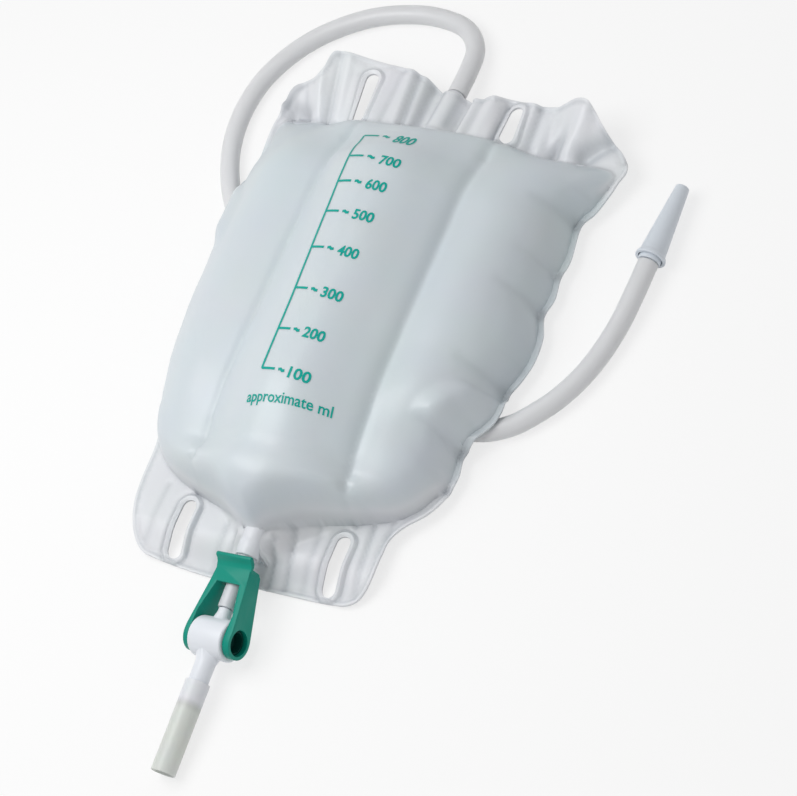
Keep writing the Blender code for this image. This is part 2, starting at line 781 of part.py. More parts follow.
def make_valve_body(valve, white):
    """The housing: a cross barrel with a barbed spigot up into the port and a spout down into the sleeve."""
    radius = BARREL_DIAMETER / 2
    round_steps = [
        (BARREL_LEFT + BARREL_ROUND * (1 - math.sin(a)), radius - BARREL_ROUND * (1 - math.cos(a)))
        for a in np.linspace(math.pi / 2, 0, 5)
    ]
    drive_end = [(BARREL_RIGHT - BARREL_EDGE, radius), (BARREL_RIGHT, radius - BARREL_EDGE)]
    barrel = turned([*round_steps, *drive_end], 32, ALONG_X)
    body = add_object("valve_body", mesh_from(barrel, "valve_body"), white, valve)
    spigot = OUTLET_PORT_BORE / 2 - SEAT_GAP
    neck_end = OUTLET_PORT_START - SEAT_GAP
    spigot_end = neck_end + SPIGOT_LENGTH
    stem = flared_stem(1, NECK_DIAMETER / 2)
    stem += [(neck_end, NECK_DIAMETER / 2), (neck_end, spigot - SPIGOT_BARB)]
    for k in range(SPIGOT_BARBS):
        ring = neck_end + SPIGOT_LENGTH * (k + 1) / SPIGOT_BARBS
        stem += [(ring - 3.4 * MM, spigot - SPIGOT_BARB), (ring - 3.0 * MM, spigot)]
        stem.append((ring, spigot - SPIGOT_BARB))
    boolean(body, helper("stem_form", turned(stem, 20, ALONG_Y), valve), "UNION")
    spout = flared_stem(-1, SPOUT_DIAMETER / 2)
    spout += [(-SPOUT_LENGTH + 0.8 * MM, SPOUT_DIAMETER / 2), (-SPOUT_LENGTH, SPOUT_DIAMETER / 2 - 0.5 * MM)]
    boolean(body, helper("spout_form", turned(spout, 20, ALONG_Y), valve), "UNION")
    bore = [(BARREL_LEFT + BARREL_END_WALL, CORE_BORE / 2), (BARREL_RIGHT + 2 * MM, CORE_BORE / 2)]
    boolean(body, helper("core_bore", turned(bore, 28, ALONG_X), valve), "DIFFERENCE")
    pivot = JOURNAL_DIAMETER / 2 + SEAT_GAP
    hole = [(BARREL_LEFT - 2 * MM, pivot), (BARREL_LEFT + BARREL_END_WALL + 1 * MM, pivot)]
    boolean(body, helper("journal_bore", turned(hole, 20, ALONG_X), valve), "DIFFERENCE")
    flow = [(-SPOUT_LENGTH - 2 * MM, FLOW_BORE / 2), (spigot_end + 2 * MM, FLOW_BORE / 2)]
    boolean(body, helper("flow_bore", turned(flow, 16, ALONG_Y), valve), "DIFFERENCE")


def make_core(lever_pivot, green, rubber):
    """The turning core: a cup open at the drive end, a cross bore, two seals and a journal at the far end."""
    radius = CORE_BORE / 2 - RUNNING_GAP
    left = BARREL_LEFT + BARREL_END_WALL + SEAT_GAP
    right = BARREL_RIGHT + SEAT_GAP + CORE_DRIVE_DEPTH
    groove = SEAL_DIAMETER / 2 - SEAL_THICKNESS / 2 - GROOVE_GAP
    reach = SEAL_THICKNESS / 2 + GROOVE_GAP
    profile = [
        (BARREL_LEFT - SEAT_GAP - LEVER_PIVOT_THICKNESS, JOURNAL_DIAMETER / 2),
        (left, JOURNAL_DIAMETER / 2),
        (left, radius),
    ]
    for side in (-1, 1):
        at = side * SEAL_SPACING / 2
        profile += [(at - reach, radius), (at - reach, groove), (at + reach, groove), (at + reach, radius)]
    profile += [(right, radius)]
    core = add_object("valve_core", mesh_from(turned(profile, 28, ALONG_X), "valve_core"), green, lever_pivot)
    floor = right - CORE_CUP_DEPTH
    cup = turned([(floor, CORE_CUP_DIAMETER / 2), (right + 1 * MM, CORE_CUP_DIAMETER / 2)], 24, ALONG_X)
    boolean(core, helper("cup_form", cup, lever_pivot), "DIFFERENCE")
    sunk = 0.4 * MM
    web = bmesh.new()
    bmesh.ops.create_cube(web, size=1.0)
    bmesh.ops.scale(web, vec=(CORE_WEB_HEIGHT + sunk, CORE_CUP_DIAMETER + sunk, CORE_WEB), verts=web.verts)
    bmesh.ops.translate(web, vec=(floor + (CORE_WEB_HEIGHT - sunk) / 2, 0, 0), verts=web.verts)
    boolean(core, helper("web_form", web, lever_pivot), "UNION")
    past = radius + 1 * MM
    cross = turned([(-past, FLOW_BORE / 2), (past, FLOW_BORE / 2)], 16, Matrix.Identity(4))
    boolean(core, helper("cross_bore", cross, lever_pivot), "DIFFERENCE")
    for side, name in ((-1, "core_seal_left"), (1, "core_seal_right")):
        ring = [
            (
                side * SEAL_SPACING / 2 + SEAL_THICKNESS / 2 * math.cos(a),
                SEAL_DIAMETER / 2 + SEAL_THICKNESS / 2 * math.sin(a),
            )
            for a in np.linspace(0, 2 * math.pi, 8, endpoint=False)
        ]
        add_object(name, mesh_from(turned_ring(ring, 28, ALONG_X), name), rubber, lever_pivot)


def prism(layers):
    """A solid between two copies of an outline, given corner by corner."""
    bm = bmesh.new()
    low, high = ([bm.verts.new(p) for p in layer] for layer in layers)
    for i in range(len(low)):
        j = (i + 1) % len(low)
        bm.faces.new((low[i], low[j], high[j], high[i]))
    bm.faces.new(low)
    bm.faces.new(high)
    return bm


def tangent_angle(radius, point, side):
    """Where a line from a point touches a circle round the origin, above it or below it."""
    along, up = point
    return math.atan2(up, along) + side * math.acos(radius / math.hypot(along, up))


def lever_side_view():
    """The frame from the side, as (along the valve, up) points: round hubs drawn out into a plate."""
    top = (LEVER_BRIDGE_START, LEVER_TOP)
    bottom = (LEVER_PLATE_END - 1.2 * MM, LEVER_BOTTOM)
    start = tangent_angle(LEVER_HUB_RADIUS, top, 1)
    stop = tangent_angle(LEVER_HUB_RADIUS, bottom, -1) + 2 * math.pi
    radius = LEVER_HUB_RADIUS
    arc = [(radius * math.cos(a), radius * math.sin(a)) for a in np.linspace(start, stop, 18)]
    return [*arc, bottom, (LEVER_PLATE_END, LEVER_BOTTOM + 1.2 * MM), (LEVER_PLATE_END, LEVER_TOP), top]


def lever_plan():
    """The frame from above, as (across, along the valve) points: two arms that draw in to the bridge."""
    back = -LEVER_HUB_RADIUS - 1 * MM
    clear = BARREL_DIAMETER / 2 + SEAT_GAP
    inner, outer = [], []
    for side, face, thickness in (
        (1, BARREL_RIGHT + SEAT_GAP, LEVER_HUB_THICKNESS),
        (-1, BARREL_LEFT - SEAT_GAP, LEVER_PIVOT_THICKNESS),
    ):
        narrow = LEVER_CENTRE + side * LEVER_WIDTH / 2
        wide = face + side * thickness
        inner.append([(face, back), (face, clear), (narrow - side * LEVER_ARM_WIDTH, LEVER_BRIDGE_START)])
        outline = [(wide, back), (wide, LEVER_FLARE_START), (narrow, LEVER_PLATE_END)]
        outer.append([*outline, (narrow, LEVER_LENGTH)])
    return [*outer[0], *outer[1][::-1], *inner[1], *inner[0][::-1]]


def lever_hollow():
    """What is taken out under the bridge, so that it is a thin plate between the arms."""
    half = LEVER_WIDTH / 2 - LEVER_ARM_WIDTH - LEVER_BRIDGE_LEDGE
    outline = [
        (LEVER_CENTRE + side * half, along)
        for side, along in (
            (-1, LEVER_BRIDGE_START - 2 * MM),
            (1, LEVER_BRIDGE_START - 2 * MM),
            (1, LEVER_LENGTH),
            (-1, LEVER_LENGTH),
        )
    ]
    levels = (-LEVER_HUB_RADIUS - 2 * MM, LEVER_TOP - LEVER_BRIDGE_THICKNESS)
    return prism([[(x, y, z) for x, y in outline] for z in levels])


def lever_tab():
    """The thumb lip: it starts inside the bridge and curves up and out past its end."""
    top = LEVER_TOP
    low = LEVER_TOP - LEVER_BRIDGE_THICKNESS
    high = LEVER_TOP + TAB_HEIGHT
    root = LEVER_PLATE_END
    end = LEVER_LENGTH
    profile = [
        (root - 1.5 * MM, top - 0.3 * MM),
        (root - 1.3 * MM, low + 0.3 * MM),
        (root + 0.6 * MM, low + 0.2 * MM),
        (root + 1.7 * MM, low + 0.7 * MM),
        (root + 2.6 * MM, top + 0.5 * MM),
        (end - 0.2 * MM, high - 1.1 * MM),
        (end, high - 0.5 * MM),
        (end - 0.5 * MM, high),
        (end - 1.1 * MM, high),
        (end - 1.6 * MM, high - 0.5 * MM),
        (root + 1.2 * MM, top + 1.1 * MM),
        (root + 0.4 * MM, top + 0.4 * MM),
        (root - 0.5 * MM, top + 0.1 * MM),
    ]
    half = LEVER_WIDTH / 2 + TAB_OVERHANG
    return prism([[(LEVER_CENTRE + side * half, along, up) for along, up in profile] for side in (-1, 1)])


def make_lever(lever_pivot, green):
    """The lever, made where its plan and its side view meet, then hollowed, drilled and given its tab."""
    reach = LEVER_WIDTH
    high = LEVER_TOP + 3 * MM
    frame = prism([[(x, y, z) for x, y in lever_plan()] for z in (-LEVER_HUB_RADIUS - 1 * MM, high)])
    lever = add_object("lever", mesh_from(frame, "lever"), green, lever_pivot)
    side_form = prism([[(x, y, z) for y, z in lever_side_view()] for x in (-reach, reach)])
    boolean(lever, helper("side_form", side_form, lever_pivot), "INTERSECT")
    boolean(lever, helper("bridge_hollow", lever_hollow(), lever_pivot), "DIFFERENCE")
    boolean(lever, helper("tab_form", lever_tab(), lever_pivot), "UNION")
    drive = CORE_BORE / 2 - RUNNING_GAP + SEAT_GAP
    hole = turned([(1 * MM, drive), (reach, drive)], 28, ALONG_X)
    boolean(lever, helper("hub_hole", hole, lever_pivot), "DIFFERENCE")
    pivot = JOURNAL_DIAMETER / 2 + SEAT_GAP
    hole = turned([(-reach, pivot), (-1 * MM, pivot)], 20, ALONG_X)
    boolean(lever, helper("pivot_hole", hole, lever_pivot), "DIFFERENCE")


def make_sleeve(valve, frosted):
    inner = SPOUT_DIAMETER / 2 + SEAT_GAP
    outer = SLEEVE_DIAMETER / 2
    edge = 0.3 * MM
    start, stop = -SLEEVE_START - SLEEVE_LENGTH, -SLEEVE_START
    shell = [(start, outer - edge), (start + edge, outer), (stop - edge, outer), (stop, outer - edge)]
    wall = tube_wall(shell, [(start, inner), (stop, inner)], 28, ALONG_Y)
    add_object("outlet_sleeve", mesh_from(wall, "outlet_sleeve"), frosted, valve)


def make_inlet_tube(frosted):
    line = tube_line()
    curve = bpy.data.curves.new("inlet_tube", "CURVE")
    curve.dimensions = "3D"
    curve.bevel_depth = TUBE_DIAMETER / 2
    curve.bevel_resolution = 3
    curve.use_fill_caps = True
    spline = curve.splines.new("POLY")
    spline.points.add(len(line) - 1)
    for point, place in zip(spline.points, line):
        point.co = (*place, 1)
    curve.materials.append(frosted)
    item = bpy.data.objects.new("inlet_tube", curve)
    bpy.context.scene.collection.objects.link(item)
    return line


def make_connector(line, white):
    """The tapered connector on the tube's end, and the conical cap pushed over it."""
    along = Vector((*(line[-1] - line[-2])[:2], 0)).normalized()
    across = along.cross(Vector((0, 0, 1)))
    place = Vector((line[-1][0], line[-1][1], CONNECTOR_HEIGHT)) + SEAT_GAP * along
    frame = Matrix.Translation(place) @ Matrix((across, along, (0, 0, 1))).transposed().to_4x4()
    empty = frame_at("connector_frame", frame)
    collar = CONNECTOR_COLLAR_LENGTH
    tip = collar + CONNECTOR_TAPER_LENGTH
    root = CONNECTOR_ROOT_DIAMETER / 2
    outer = [
        (0, CONNECTOR_COLLAR_DIAMETER / 2 - 0.3 * MM),
        (0.3 * MM, CONNECTOR_COLLAR_DIAMETER / 2),
        (collar, CONNECTOR_COLLAR_DIAMETER / 2),
        (collar + 0.4 * MM, root),
        (tip - 0.5 * MM, CONNECTOR_TIP_DIAMETER / 2),
        (tip, CONNECTOR_TIP_DIAMETER / 2 - 0.4 * MM),
    ]
    inner = [(0, CONNECTOR_BORE / 2), (tip, CONNECTOR_BORE / 2)]
    add_object("connector", mesh_from(tube_wall(outer, inner, 24, ALONG_Y), "connector"), white, empty)
    start = 1.4 * MM
    end = start + CAP_LENGTH
    root, tip_radius, wall = CAP_ROOT_DIAMETER / 2, CAP_TIP_DIAMETER / 2, CAP_WALL
    shell = [
        (start, CAP_RIM_DIAMETER / 2),
        (start + 0.7 * MM, CAP_RIM_DIAMETER / 2),
        (start + CAP_RIM_WIDTH, root),
        (end - 0.4 * MM, tip_radius),
        (end, tip_radius - 0.4 * MM),
        (end, 0.2 * MM),
    ]
    hollow = [
        (start, root - 0.1 * MM),
        (start + CAP_RIM_WIDTH, CONNECTOR_COLLAR_DIAMETER / 2 + SEAT_GAP),
        (collar + 1.2 * MM, CONNECTOR_COLLAR_DIAMETER / 2 + SEAT_GAP),
        (collar + 1.8 * MM, CONNECTOR_ROOT_DIAMETER / 2 + SEAT_GAP),
        (end - wall, CONNECTOR_TIP_DIAMETER / 2 + SEAT_GAP - 0.3 * MM),
        (end - wall, 0.2 * MM),
    ]
    cap = turned([*reversed(shell), *hollow], 28, ALONG_Y)
    add_object("connector_cap", mesh_from(cap, "connector_cap"), white, empty)


def centre_on_base(left_out):
    """Puts the middle of the footprint at the origin, counting all but the pieces that are left out."""
    bpy.context.view_layer.update()
    graph = bpy.context.evaluated_depsgraph_get()
    places = []
    for item in bpy.context.scene.objects:
        if item.type != "MESH" or item.hide_render or item.name in left_out:
            continue
        evaluated = item.evaluated_get(graph)
        places += [evaluated.matrix_world @ v.co for v in evaluated.data.vertices]
    low = [min(p[k] for p in places) for k in range(3)]
    high = [max(p[k] for p in places) for k in range(3)]
    shift = Vector((-(low[0] + high[0]) / 2, -(low[1] + high[1]) / 2, -low[2]))
    for item in bpy.context.scene.objects:
        if item.parent is None:
            item.location += shift
    bpy.context.view_layer.update()
    return shift


def main():
    clear_scene()
    film = plastic("frosted_film", (0.74, 0.79, 0.82), 0.35, 0.15)
    white = plastic("white_plastic", (0.86, 0.88, 0.92), 0.3)
    green = plastic("green_plastic", (0.0, 0.36, 0.27), 0.35)
    frosted = plastic("frosted_tube", (0.78, 0.8, 0.8), 0.3, 0.3)
    rubber = plastic("seal_rubber", (0.03, 0.03, 0.03), 0.6)
    bag = make_bag(film)
    make_inlet(bag, white)
    pose = Matrix.Rotation(VALVE_PITCH, 4, "X") @ Matrix.Rotation(-VALVE_ROLL, 4, "Y")
    valve = frame_at("valve_frame", Matrix.Translation((0, -VALVE_REACH, VALVE_HEIGHT)) @ pose)
    make_outlet_port(bag, valve, white)
    make_valve_body(valve, white)
    make_sleeve(valve, frosted)
    lever_pivot = frame_at("lever_pivot", valve.matrix_world)
    make_lever(lever_pivot, green)
    make_core(lever_pivot, green, rubber)
    line = make_inlet_tube(frosted)
    make_connector(line, white)
    return centre_on_base({"inlet_tube", "connector", "connector_cap"})


main()
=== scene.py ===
"""Looks of a part-filled urine leg bag that lies on its back, laid out as a Blender add-on."""

import math

import bmesh
import bpy
import numpy as np
from bpy.props import FloatProperty, FloatVectorProperty, PointerProperty
from bpy.types import Operator, Panel, PropertyGroup
from mathutils import Matrix, Vector
from mathutils.geometry import delaunay_2d_cdt


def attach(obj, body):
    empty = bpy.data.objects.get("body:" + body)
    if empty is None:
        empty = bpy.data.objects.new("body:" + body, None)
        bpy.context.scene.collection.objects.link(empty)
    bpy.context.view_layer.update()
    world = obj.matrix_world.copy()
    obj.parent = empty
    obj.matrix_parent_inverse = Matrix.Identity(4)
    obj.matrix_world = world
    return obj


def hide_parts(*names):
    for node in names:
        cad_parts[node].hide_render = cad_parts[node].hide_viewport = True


bl_info = {
    "name": "Drainage Bag Looks",
    "version": (1, 0, 0),
    "blender": (4, 5, 0),
    "location": "3D View > Sidebar > Drainage Bag",
    "description": "Builds the film, print, tube, valve and stage round the packed drainage bag",
    "category": "Object",
}

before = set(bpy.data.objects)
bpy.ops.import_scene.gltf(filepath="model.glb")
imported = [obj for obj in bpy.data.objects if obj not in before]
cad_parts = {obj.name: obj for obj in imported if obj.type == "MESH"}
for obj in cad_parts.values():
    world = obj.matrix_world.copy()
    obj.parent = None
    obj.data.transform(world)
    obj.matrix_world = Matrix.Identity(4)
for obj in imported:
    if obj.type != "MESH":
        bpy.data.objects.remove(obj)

MM = 0.001
BODY = "bag_set"
LEVER_BODY = "lever_set"
CAP_BODY = "cap"

# Where the middle of the bottom seam lies in the row frame
SEAM_ORIGIN = Vector((-2.702 * MM, -53.367 * MM, 0))

# Fits
SEAT_GAP = 0.3 * MM

# Film bag
POUCH_LENGTH = 165 * MM
CREST_HEIGHT = 43 * MM
DOME_ROUNDNESS = 0.6
SIDE_SEAM_HEIGHT = 5 * MM
TOP_SEAM_HEIGHT = 14 * MM
TOP_CORNER_HEIGHT = 8 * MM
BOTTOM_SEAM_HEIGHT = 5.5 * MM
BOTTOM_DOME_REACH = 52 * MM
TOP_DOME_REACH = 36 * MM
FRONT_ROLL = 7 * MM
UNDERSIDE_ROLL = 13 * MM
TOP_UNDERSIDE_ROLL = 34 * MM
TOP_ROLL_REACH = 40 * MM
SHEET_THICKNESS = 0.9 * MM
RIM_WIDTH = 2.0 * MM
FLANGE_LEAST = 4 * MM
LOW_SEAM_REACH = 26 * MM
TOP_RISE_REACH = 22 * MM
CORNER_START = 24 * MM
CORNER_REACH = 20 * MM

# The two lengthwise welds that make three chambers
WELD_CENTRE = 2.5 * MM
WELD_SPACING = 55 * MM
WELD_DEPTH = 10 * MM
WELD_VALLEY_WIDTH = 25 * MM
WELD_SHARPNESS = 1.6
WELD_START = 13 * MM
WELD_END_GAP = 1 * MM
WELD_FADE = 13 * MM

# Hanging flanges and their strap slots
BOTTOM_FLANGE_DROP = 14 * MM
BOTTOM_EDGE_HEIGHT = 1.6 * MM
EDGE_WAVE_HEIGHT = 0.7 * MM
EDGE_WAVE_LENGTH = 44 * MM
SLOT_SPACING = 61 * MM
SLOT_LENGTH = 21 * MM
SLOT_WIDTH = 5.2 * MM
SLOT_DRIFT = -2 * MM
SLOT_END_FILM = 2.6 * MM
SLOT_ARC_POINTS = 14
SLOT_STEP = 0.8 * MM
BOTTOM_SLOT_Y = -1.5 * MM
TOP_SLOT_Y = 175.5 * MM

# Tube and ports
TUBE_DIAMETER = 7.3 * MM
TUBE_BORE = 5.0 * MM
TUBE_FLOOR_GAP = 0.15 * MM
TUBE_STEP = 4 * MM
TUBE_COVER_GAP = 1.1 * MM
TUBE_SKIRT = 9 * MM
TUBE_COVER_END_GAP = 25 * MM
TUBE_LIFT_REACH = 14 * MM
TUBE_LIFT_FADE = 10 * MM
INLET_PORT_DIAMETER = 7.9 * MM
INLET_PORT_LENGTH = 34 * MM
INLET_PORT_EDGE_HEIGHT = 8.6 * MM
INLET_PORT_SLOPE = math.radians(-8.0)
PORT_FILM = 0.9 * MM
PORT_STAND_OUT = 0.8 * MM
PORT_LIFT_REACH = 12 * MM
PORT_LIFT_SIDE = 7.2 * MM
INLET_LIFT_REACH = 14 * MM
OUTLET_LIFT_END = 26 * MM
OUTLET_LIFT_FADE = 20 * MM
OUTLET_PORT_DIAMETER = 6.2 * MM
OUTLET_PORT_BORE = 4.6 * MM
OUTLET_PORT_START = 10.5 * MM
OUTLET_PORT_END = 47 * MM
OUTLET_COLLAR_OUT = 8.5 * MM

# Drain valve
VALVE_REACH = 37.5 * MM
VALVE_HEIGHT = 8.9 * MM
VALVE_PITCH = math.radians(5.3)
VALVE_ROLL = math.radians(9.0)
SPOUT_DIAMETER = 6.9 * MM
SPOUT_LENGTH = 24 * MM
SLEEVE_DIAMETER = 8.4 * MM
SLEEVE_START = 15.5 * MM
SLEEVE_LENGTH = 31.5 * MM

# Tapered connector and its pull-off cap
CONNECTOR_HEIGHT = 5.6 * MM
CONNECTOR_COLLAR_DIAMETER = 8.0 * MM
CONNECTOR_COLLAR_LENGTH = 4.2 * MM
CONNECTOR_ROOT_DIAMETER = 6.4 * MM
CONNECTOR_TIP_DIAMETER = 3.6 * MM
CONNECTOR_TAPER_LENGTH = 25 * MM
CONNECTOR_BORE = 2.2 * MM
CAP_START = 1.4 * MM
CAP_LENGTH = 30 * MM
CAP_ROOT_DIAMETER = 9.3 * MM
CAP_TIP_DIAMETER = 5.0 * MM
CAP_RIM_DIAMETER = 10.9 * MM
CAP_RIM_WIDTH = 2.2 * MM
CAP_WALL = 0.9 * MM

# The sheet's free edge as it lies, in millimetres, X and Y from the middle of the bottom seam
BOTTOM_EDGE = (
    (-57, 31), (-56, 24), (-55.5, 14), (-54.4, 5.5), (-52, -2), (-49.5, -7.5), (-45, -12),
    (-39, -13.4), (-26, -14.4), (-12, -15), (4, -15), (18, -14.3), (31, -13.9), (37, -13),
    (41, -9.5), (43, -3), (43.2, 5), (43.6, 11.5), (47, 17.3), (52, 22.3),
)
RIGHT_EDGE = (
    (55.1, 26.8), (57.2, 32), (58.2, 39), (57.4, 46), (60, 51.5), (64.4, 58), (65.8, 65),
    (64.3, 71.4), (66.5, 78), (68.2, 86), (67.8, 95.5), (65.2, 103.6), (66.4, 111),
    (65.5, 119.5), (66.5, 127), (65.3, 140.5), (68.5, 146.5), (71.7, 154),
)
TOP_EDGE = (
    (73.4, 159, 5.5), (75, 164, 6.5), (72.6, 169, 8), (67.3, 173.4, 11), (63.6, 176.3, 14),
    (59.5, 180.5, 17), (56.3, 183, 20), (51.6, 183.6, 19), (46.8, 182.6, 16), (41.2, 182.7, 12),
    (34.9, 181.8, 15), (25.1, 183.8, 12), (18.8, 182.5, 15), (10.5, 182, 12.5), (5.5, 183.4, 9.3),
    (0, 183.8, 8.8), (-5, 185, 9.3), (-9.5, 187.6, 11.5), (-16.6, 189.2, 15), (-26, 190.7, 14),
    (-34.3, 191.3, 15), (-42, 191.3, 17.5), (-49.4, 190.4, 19), (-51.8, 184.2, 17.5),
    (-55.4, 180.3, 15), (-59.8, 178.9, 13), (-62.6, 175.8, 14), (-65, 171.2, 13),
    (-67.4, 165, 10.5), (-68.3, 157, 7.5),
)
LEFT_EDGE = (
    (-68.6, 146), (-69, 130), (-69.6, 112), (-69, 94), (-67.8, 77), (-65.6, 60), (-62.6, 47), (-59, 38),
)
BOTTOM_SEAM = (
    (-57.5, 33), (-53.5, 25.5), (-47, 19), (-38, 14), (-27, 10.3), (-16, 7), (-8, 2.8), (0, 0),
    (8, 4.2), (16, 8.8), (27, 12.6), (37, 15.8), (44, 18.8), (49.5, 23.5), (53.2, 29),
)
TOP_SEAM = (
    (71.2, 157.5), (71.3, 161.5), (66, 163.3), (45, 163.7), (20, 165), (0, 166), (-22, 165.8),
    (-48, 165.6), (-60, 165.6), (-65, 162.3), (-66.3, 157),
)

# The tube's centre line: X and Y in millimetres, and height above the tube's rest
TUBE_ROUTE = (
    (0, 185.1, 4.6), (-0.2, 190.5, 3.9), (-0.7, 197, 2.6), (-2.6, 208.5, 0.8), (-8.8, 217, 0.1),
    (-18, 221, 0), (-32, 222.2, 0), (-49.7, 218.7, 0), (-65.7, 209.7, 0), (-76.7, 198.3, 0),
    (-84, 184, 0), (-86.2, 169.2, 0), (-84.7, 155.3, 0), (-80.6, 143, 0), (-74, 131, 0),
    (-64, 118, 0), (-51, 104.5, 0), (-35, 91.5, 0), (-16, 79.5, 0), (5, 69, 0), (26, 61, 0),
    (44, 56.8, 0), (58.5, 57.3, 0), (68.2, 61.5, 0), (74.5, 67.3, 0), (80.4, 74.5, 0),
    (85.6, 84, 0), (89.3, 94.8, 0), (91.8, 106.7, 0.4), (93.3, 119.5, 1.4), (94, 130.5, 1.8),
)

# The printed scale in millimetres: volume, where its tick starts and where its number starts
SCALE_ROWS = (
    (800, -15.6, 149.4, 0.8, 145.8),
    (700, -11.6, 134.2, 2.9, 132.4),
    (600, -10.8, 122.9, 2.0, 121.9),
    (500, -9.9, 110.2, 2.3, 109.4),
    (400, -8.9, 95.2, 2.7, 94.6),
    (300, -7.6, 78.4, 3.7, 77.9),
    (200, -6.9, 62.2, 3.7, 62.0),
    (100, -6.1, 46.5, 4.7, 46.6),
)
DIGIT_SIZE = 5.5 * MM
TOP_DIGIT_SIZE = 7.2 * MM
NUMBER_WIDTH = 7.6 * MM
UNIT_PLACE = (-8.0, 36.2)
UNIT_SIZE = 5.4 * MM
UNIT_WIDTH = 29.5 * MM
UNIT_TURN = math.radians(6)
UNIT_STROKE = 0.014

# Where the tick ends and the wavy dash runs, as shares of the way to the number
TICK_SHARE = 0.5
DASH_SHARES = (0.63, 0.85)
DASH_WAVE = 0.35 * MM
DASH_WAVE_RATE = 28

# Looks that the settings leave alone
GRAIN_DEPTH = 0.2 * MM
EVEN_SCATTER = (1, 1, 1)
SPOUT_END_COLOUR = (0.45, 0.47, 0.46)

# Sides of the round pieces, and how far a bore's ends lie inside its wall's ends
TURNED_SIDES = 48
CONNECTOR_SIDES = 56
TUBE_SIDES = 28
BORE_EDGE = 0.25 * MM

# The lamps and the floor
KEY_DIRECTION = Vector((-0.4, -0.13, 0.9))
KEY_DISTANCE = 0.5
KEY_SIZE = 0.35
FILL_DISTANCE = 1.1
FILL_SIZE = 0.9
FLOOR_HALF = 3.0

# The photograph's camera, about the middle of the bottom seam: its focus, picture and point in pixels,
# its sensor in millimetres
CAMERA_AZIMUTH = math.radians(50.0)
CAMERA_ELEVATION = math.radians(54.3)
CAMERA_ROLL = math.radians(-32.5)
CAMERA_DISTANCE = 759.9 * MM
CAMERA_FOCUS = 2261.9
CAMERA_TARGET = Vector((30.2 * MM, 57.2 * MM, 15 * MM))
PICTURE_WIDTH = 797
PICTURE_HEIGHT = 796
PRINCIPAL_POINT = (395.3, 400.1)
SENSOR_WIDTH = 36


def ease(share):
    share = np.clip(share, 0, 1)
    return share * share * (3 - 2 * share)


def quarter_round(share):
    share = np.clip(share, 0, 1)
    return np.sqrt(1 - (1 - share) ** 2)


def smooth_curve(points, step):
    """Points about one step apart on a smooth curve through the given ones."""
    given = np.array(points, float)
    ends = np.vstack([2 * given[0] - given[1], given, 2 * given[-1] - given[-2]])
    fine = []
    for k in range(1, len(ends) - 2):
        before, start, stop, after = ends[k - 1], ends[k], ends[k + 1], ends[k + 2]
        for t in np.linspace(0, 1, 24, endpoint=False):
            fine.append(
                0.5
                * (
                    2 * start
                    + (stop - before) * t
                    + (2 * before - 5 * start + 4 * stop - after) * t**2
                    + (3 * start - before - 3 * stop + after) * t**3
                )
            )
    fine.append(given[-1])
    fine = np.array(fine)
    run = np.concatenate([[0], np.cumsum(np.linalg.norm(np.diff(fine, axis=0), axis=1))])
    at = np.linspace(0, run[-1], max(2, round(run[-1] / step) + 1))
    return np.stack([np.interp(at, run, fine[:, k]) for k in range(fine.shape[1])], axis=1)


def distance_to(line, x, y):
    """How far plan points lie from an open line."""
    point = np.stack([np.ravel(x), np.ravel(y)], axis=1)
    best = np.full(len(point), np.inf)
    for a, d in zip(line[:-1], np.diff(line, axis=0)):
        share = np.clip(((point - a) @ d) / max(d @ d, 1e-12), 0, 1)
        best = np.minimum(best, np.linalg.norm(point - a - share[:, None] * d, axis=1))
    return best.reshape(np.shape(x))


def bell(away, width):
    """One on a line, falling smoothly to nothing about two widths from it."""
    return np.exp(-((away / width) ** 2))


def inside(loop, x, y):
    crossings = np.zeros(np.shape(x), int)
    for (ax, ay), (bx, by) in zip(loop, np.roll(loop, -1, axis=0)):
        spans = (ay > y) != (by > y)
        if by != ay:
            crossings += spans & (x < ax + (y - ay) * (bx - ax) / (by - ay))
    return crossings % 2 == 1


def moved_inwards(loop, distance):
    before, after = np.roll(loop, 1, axis=0), np.roll(loop, -1, axis=0)
    along = after - before
    along /= np.linalg.norm(along, axis=1)[:, None]
    return loop + distance * np.stack([-along[:, 1], along[:, 0]], axis=1)


def closed(loop):
    return np.vstack([loop, loop[:1]])


def sheet_edge(step):
    flat = [(x, y, 0) for x, y in BOTTOM_EDGE + RIGHT_EDGE]
    last = [(x, y, 0) for x, y in LEFT_EDGE]
    points = np.array([*flat, *TOP_EDGE, *last, flat[0]]) * MM
    return smooth_curve(points, step)[:-1]


def seam_loop(step):
    edge = sheet_edge(5 * MM)[:, :2]
    rim = moved_inwards(edge, RIM_WIDTH)
    right = [p for p in rim if p[0] > 0 and RIGHT_EDGE[0][1] * MM < p[1] < RIGHT_EDGE[-1][1] * MM]
    left = [p for p in rim if p[0] < 0 and LEFT_EDGE[-1][1] * MM < p[1] < LEFT_EDGE[0][1] * MM]
    bottom = np.array(BOTTOM_SEAM) * MM
    top = np.array(TOP_SEAM) * MM
    return smooth_curve([*bottom, *right[1:-1], *top, *left[1:-1], bottom[0]], step)[:-1]


def slot_centres():
    return [
        (SLOT_DRIFT + side * SLOT_SPACING / 2, y) for y in (BOTTOM_SLOT_Y, TOP_SLOT_Y) for side in (-1, 1)
    ]


def top_edge_y(x):
    line = np.array(sorted((px, py) for px, py, pz in TOP_EDGE)) * MM
    return float(np.interp(x, line[:, 0], line[:, 1]))


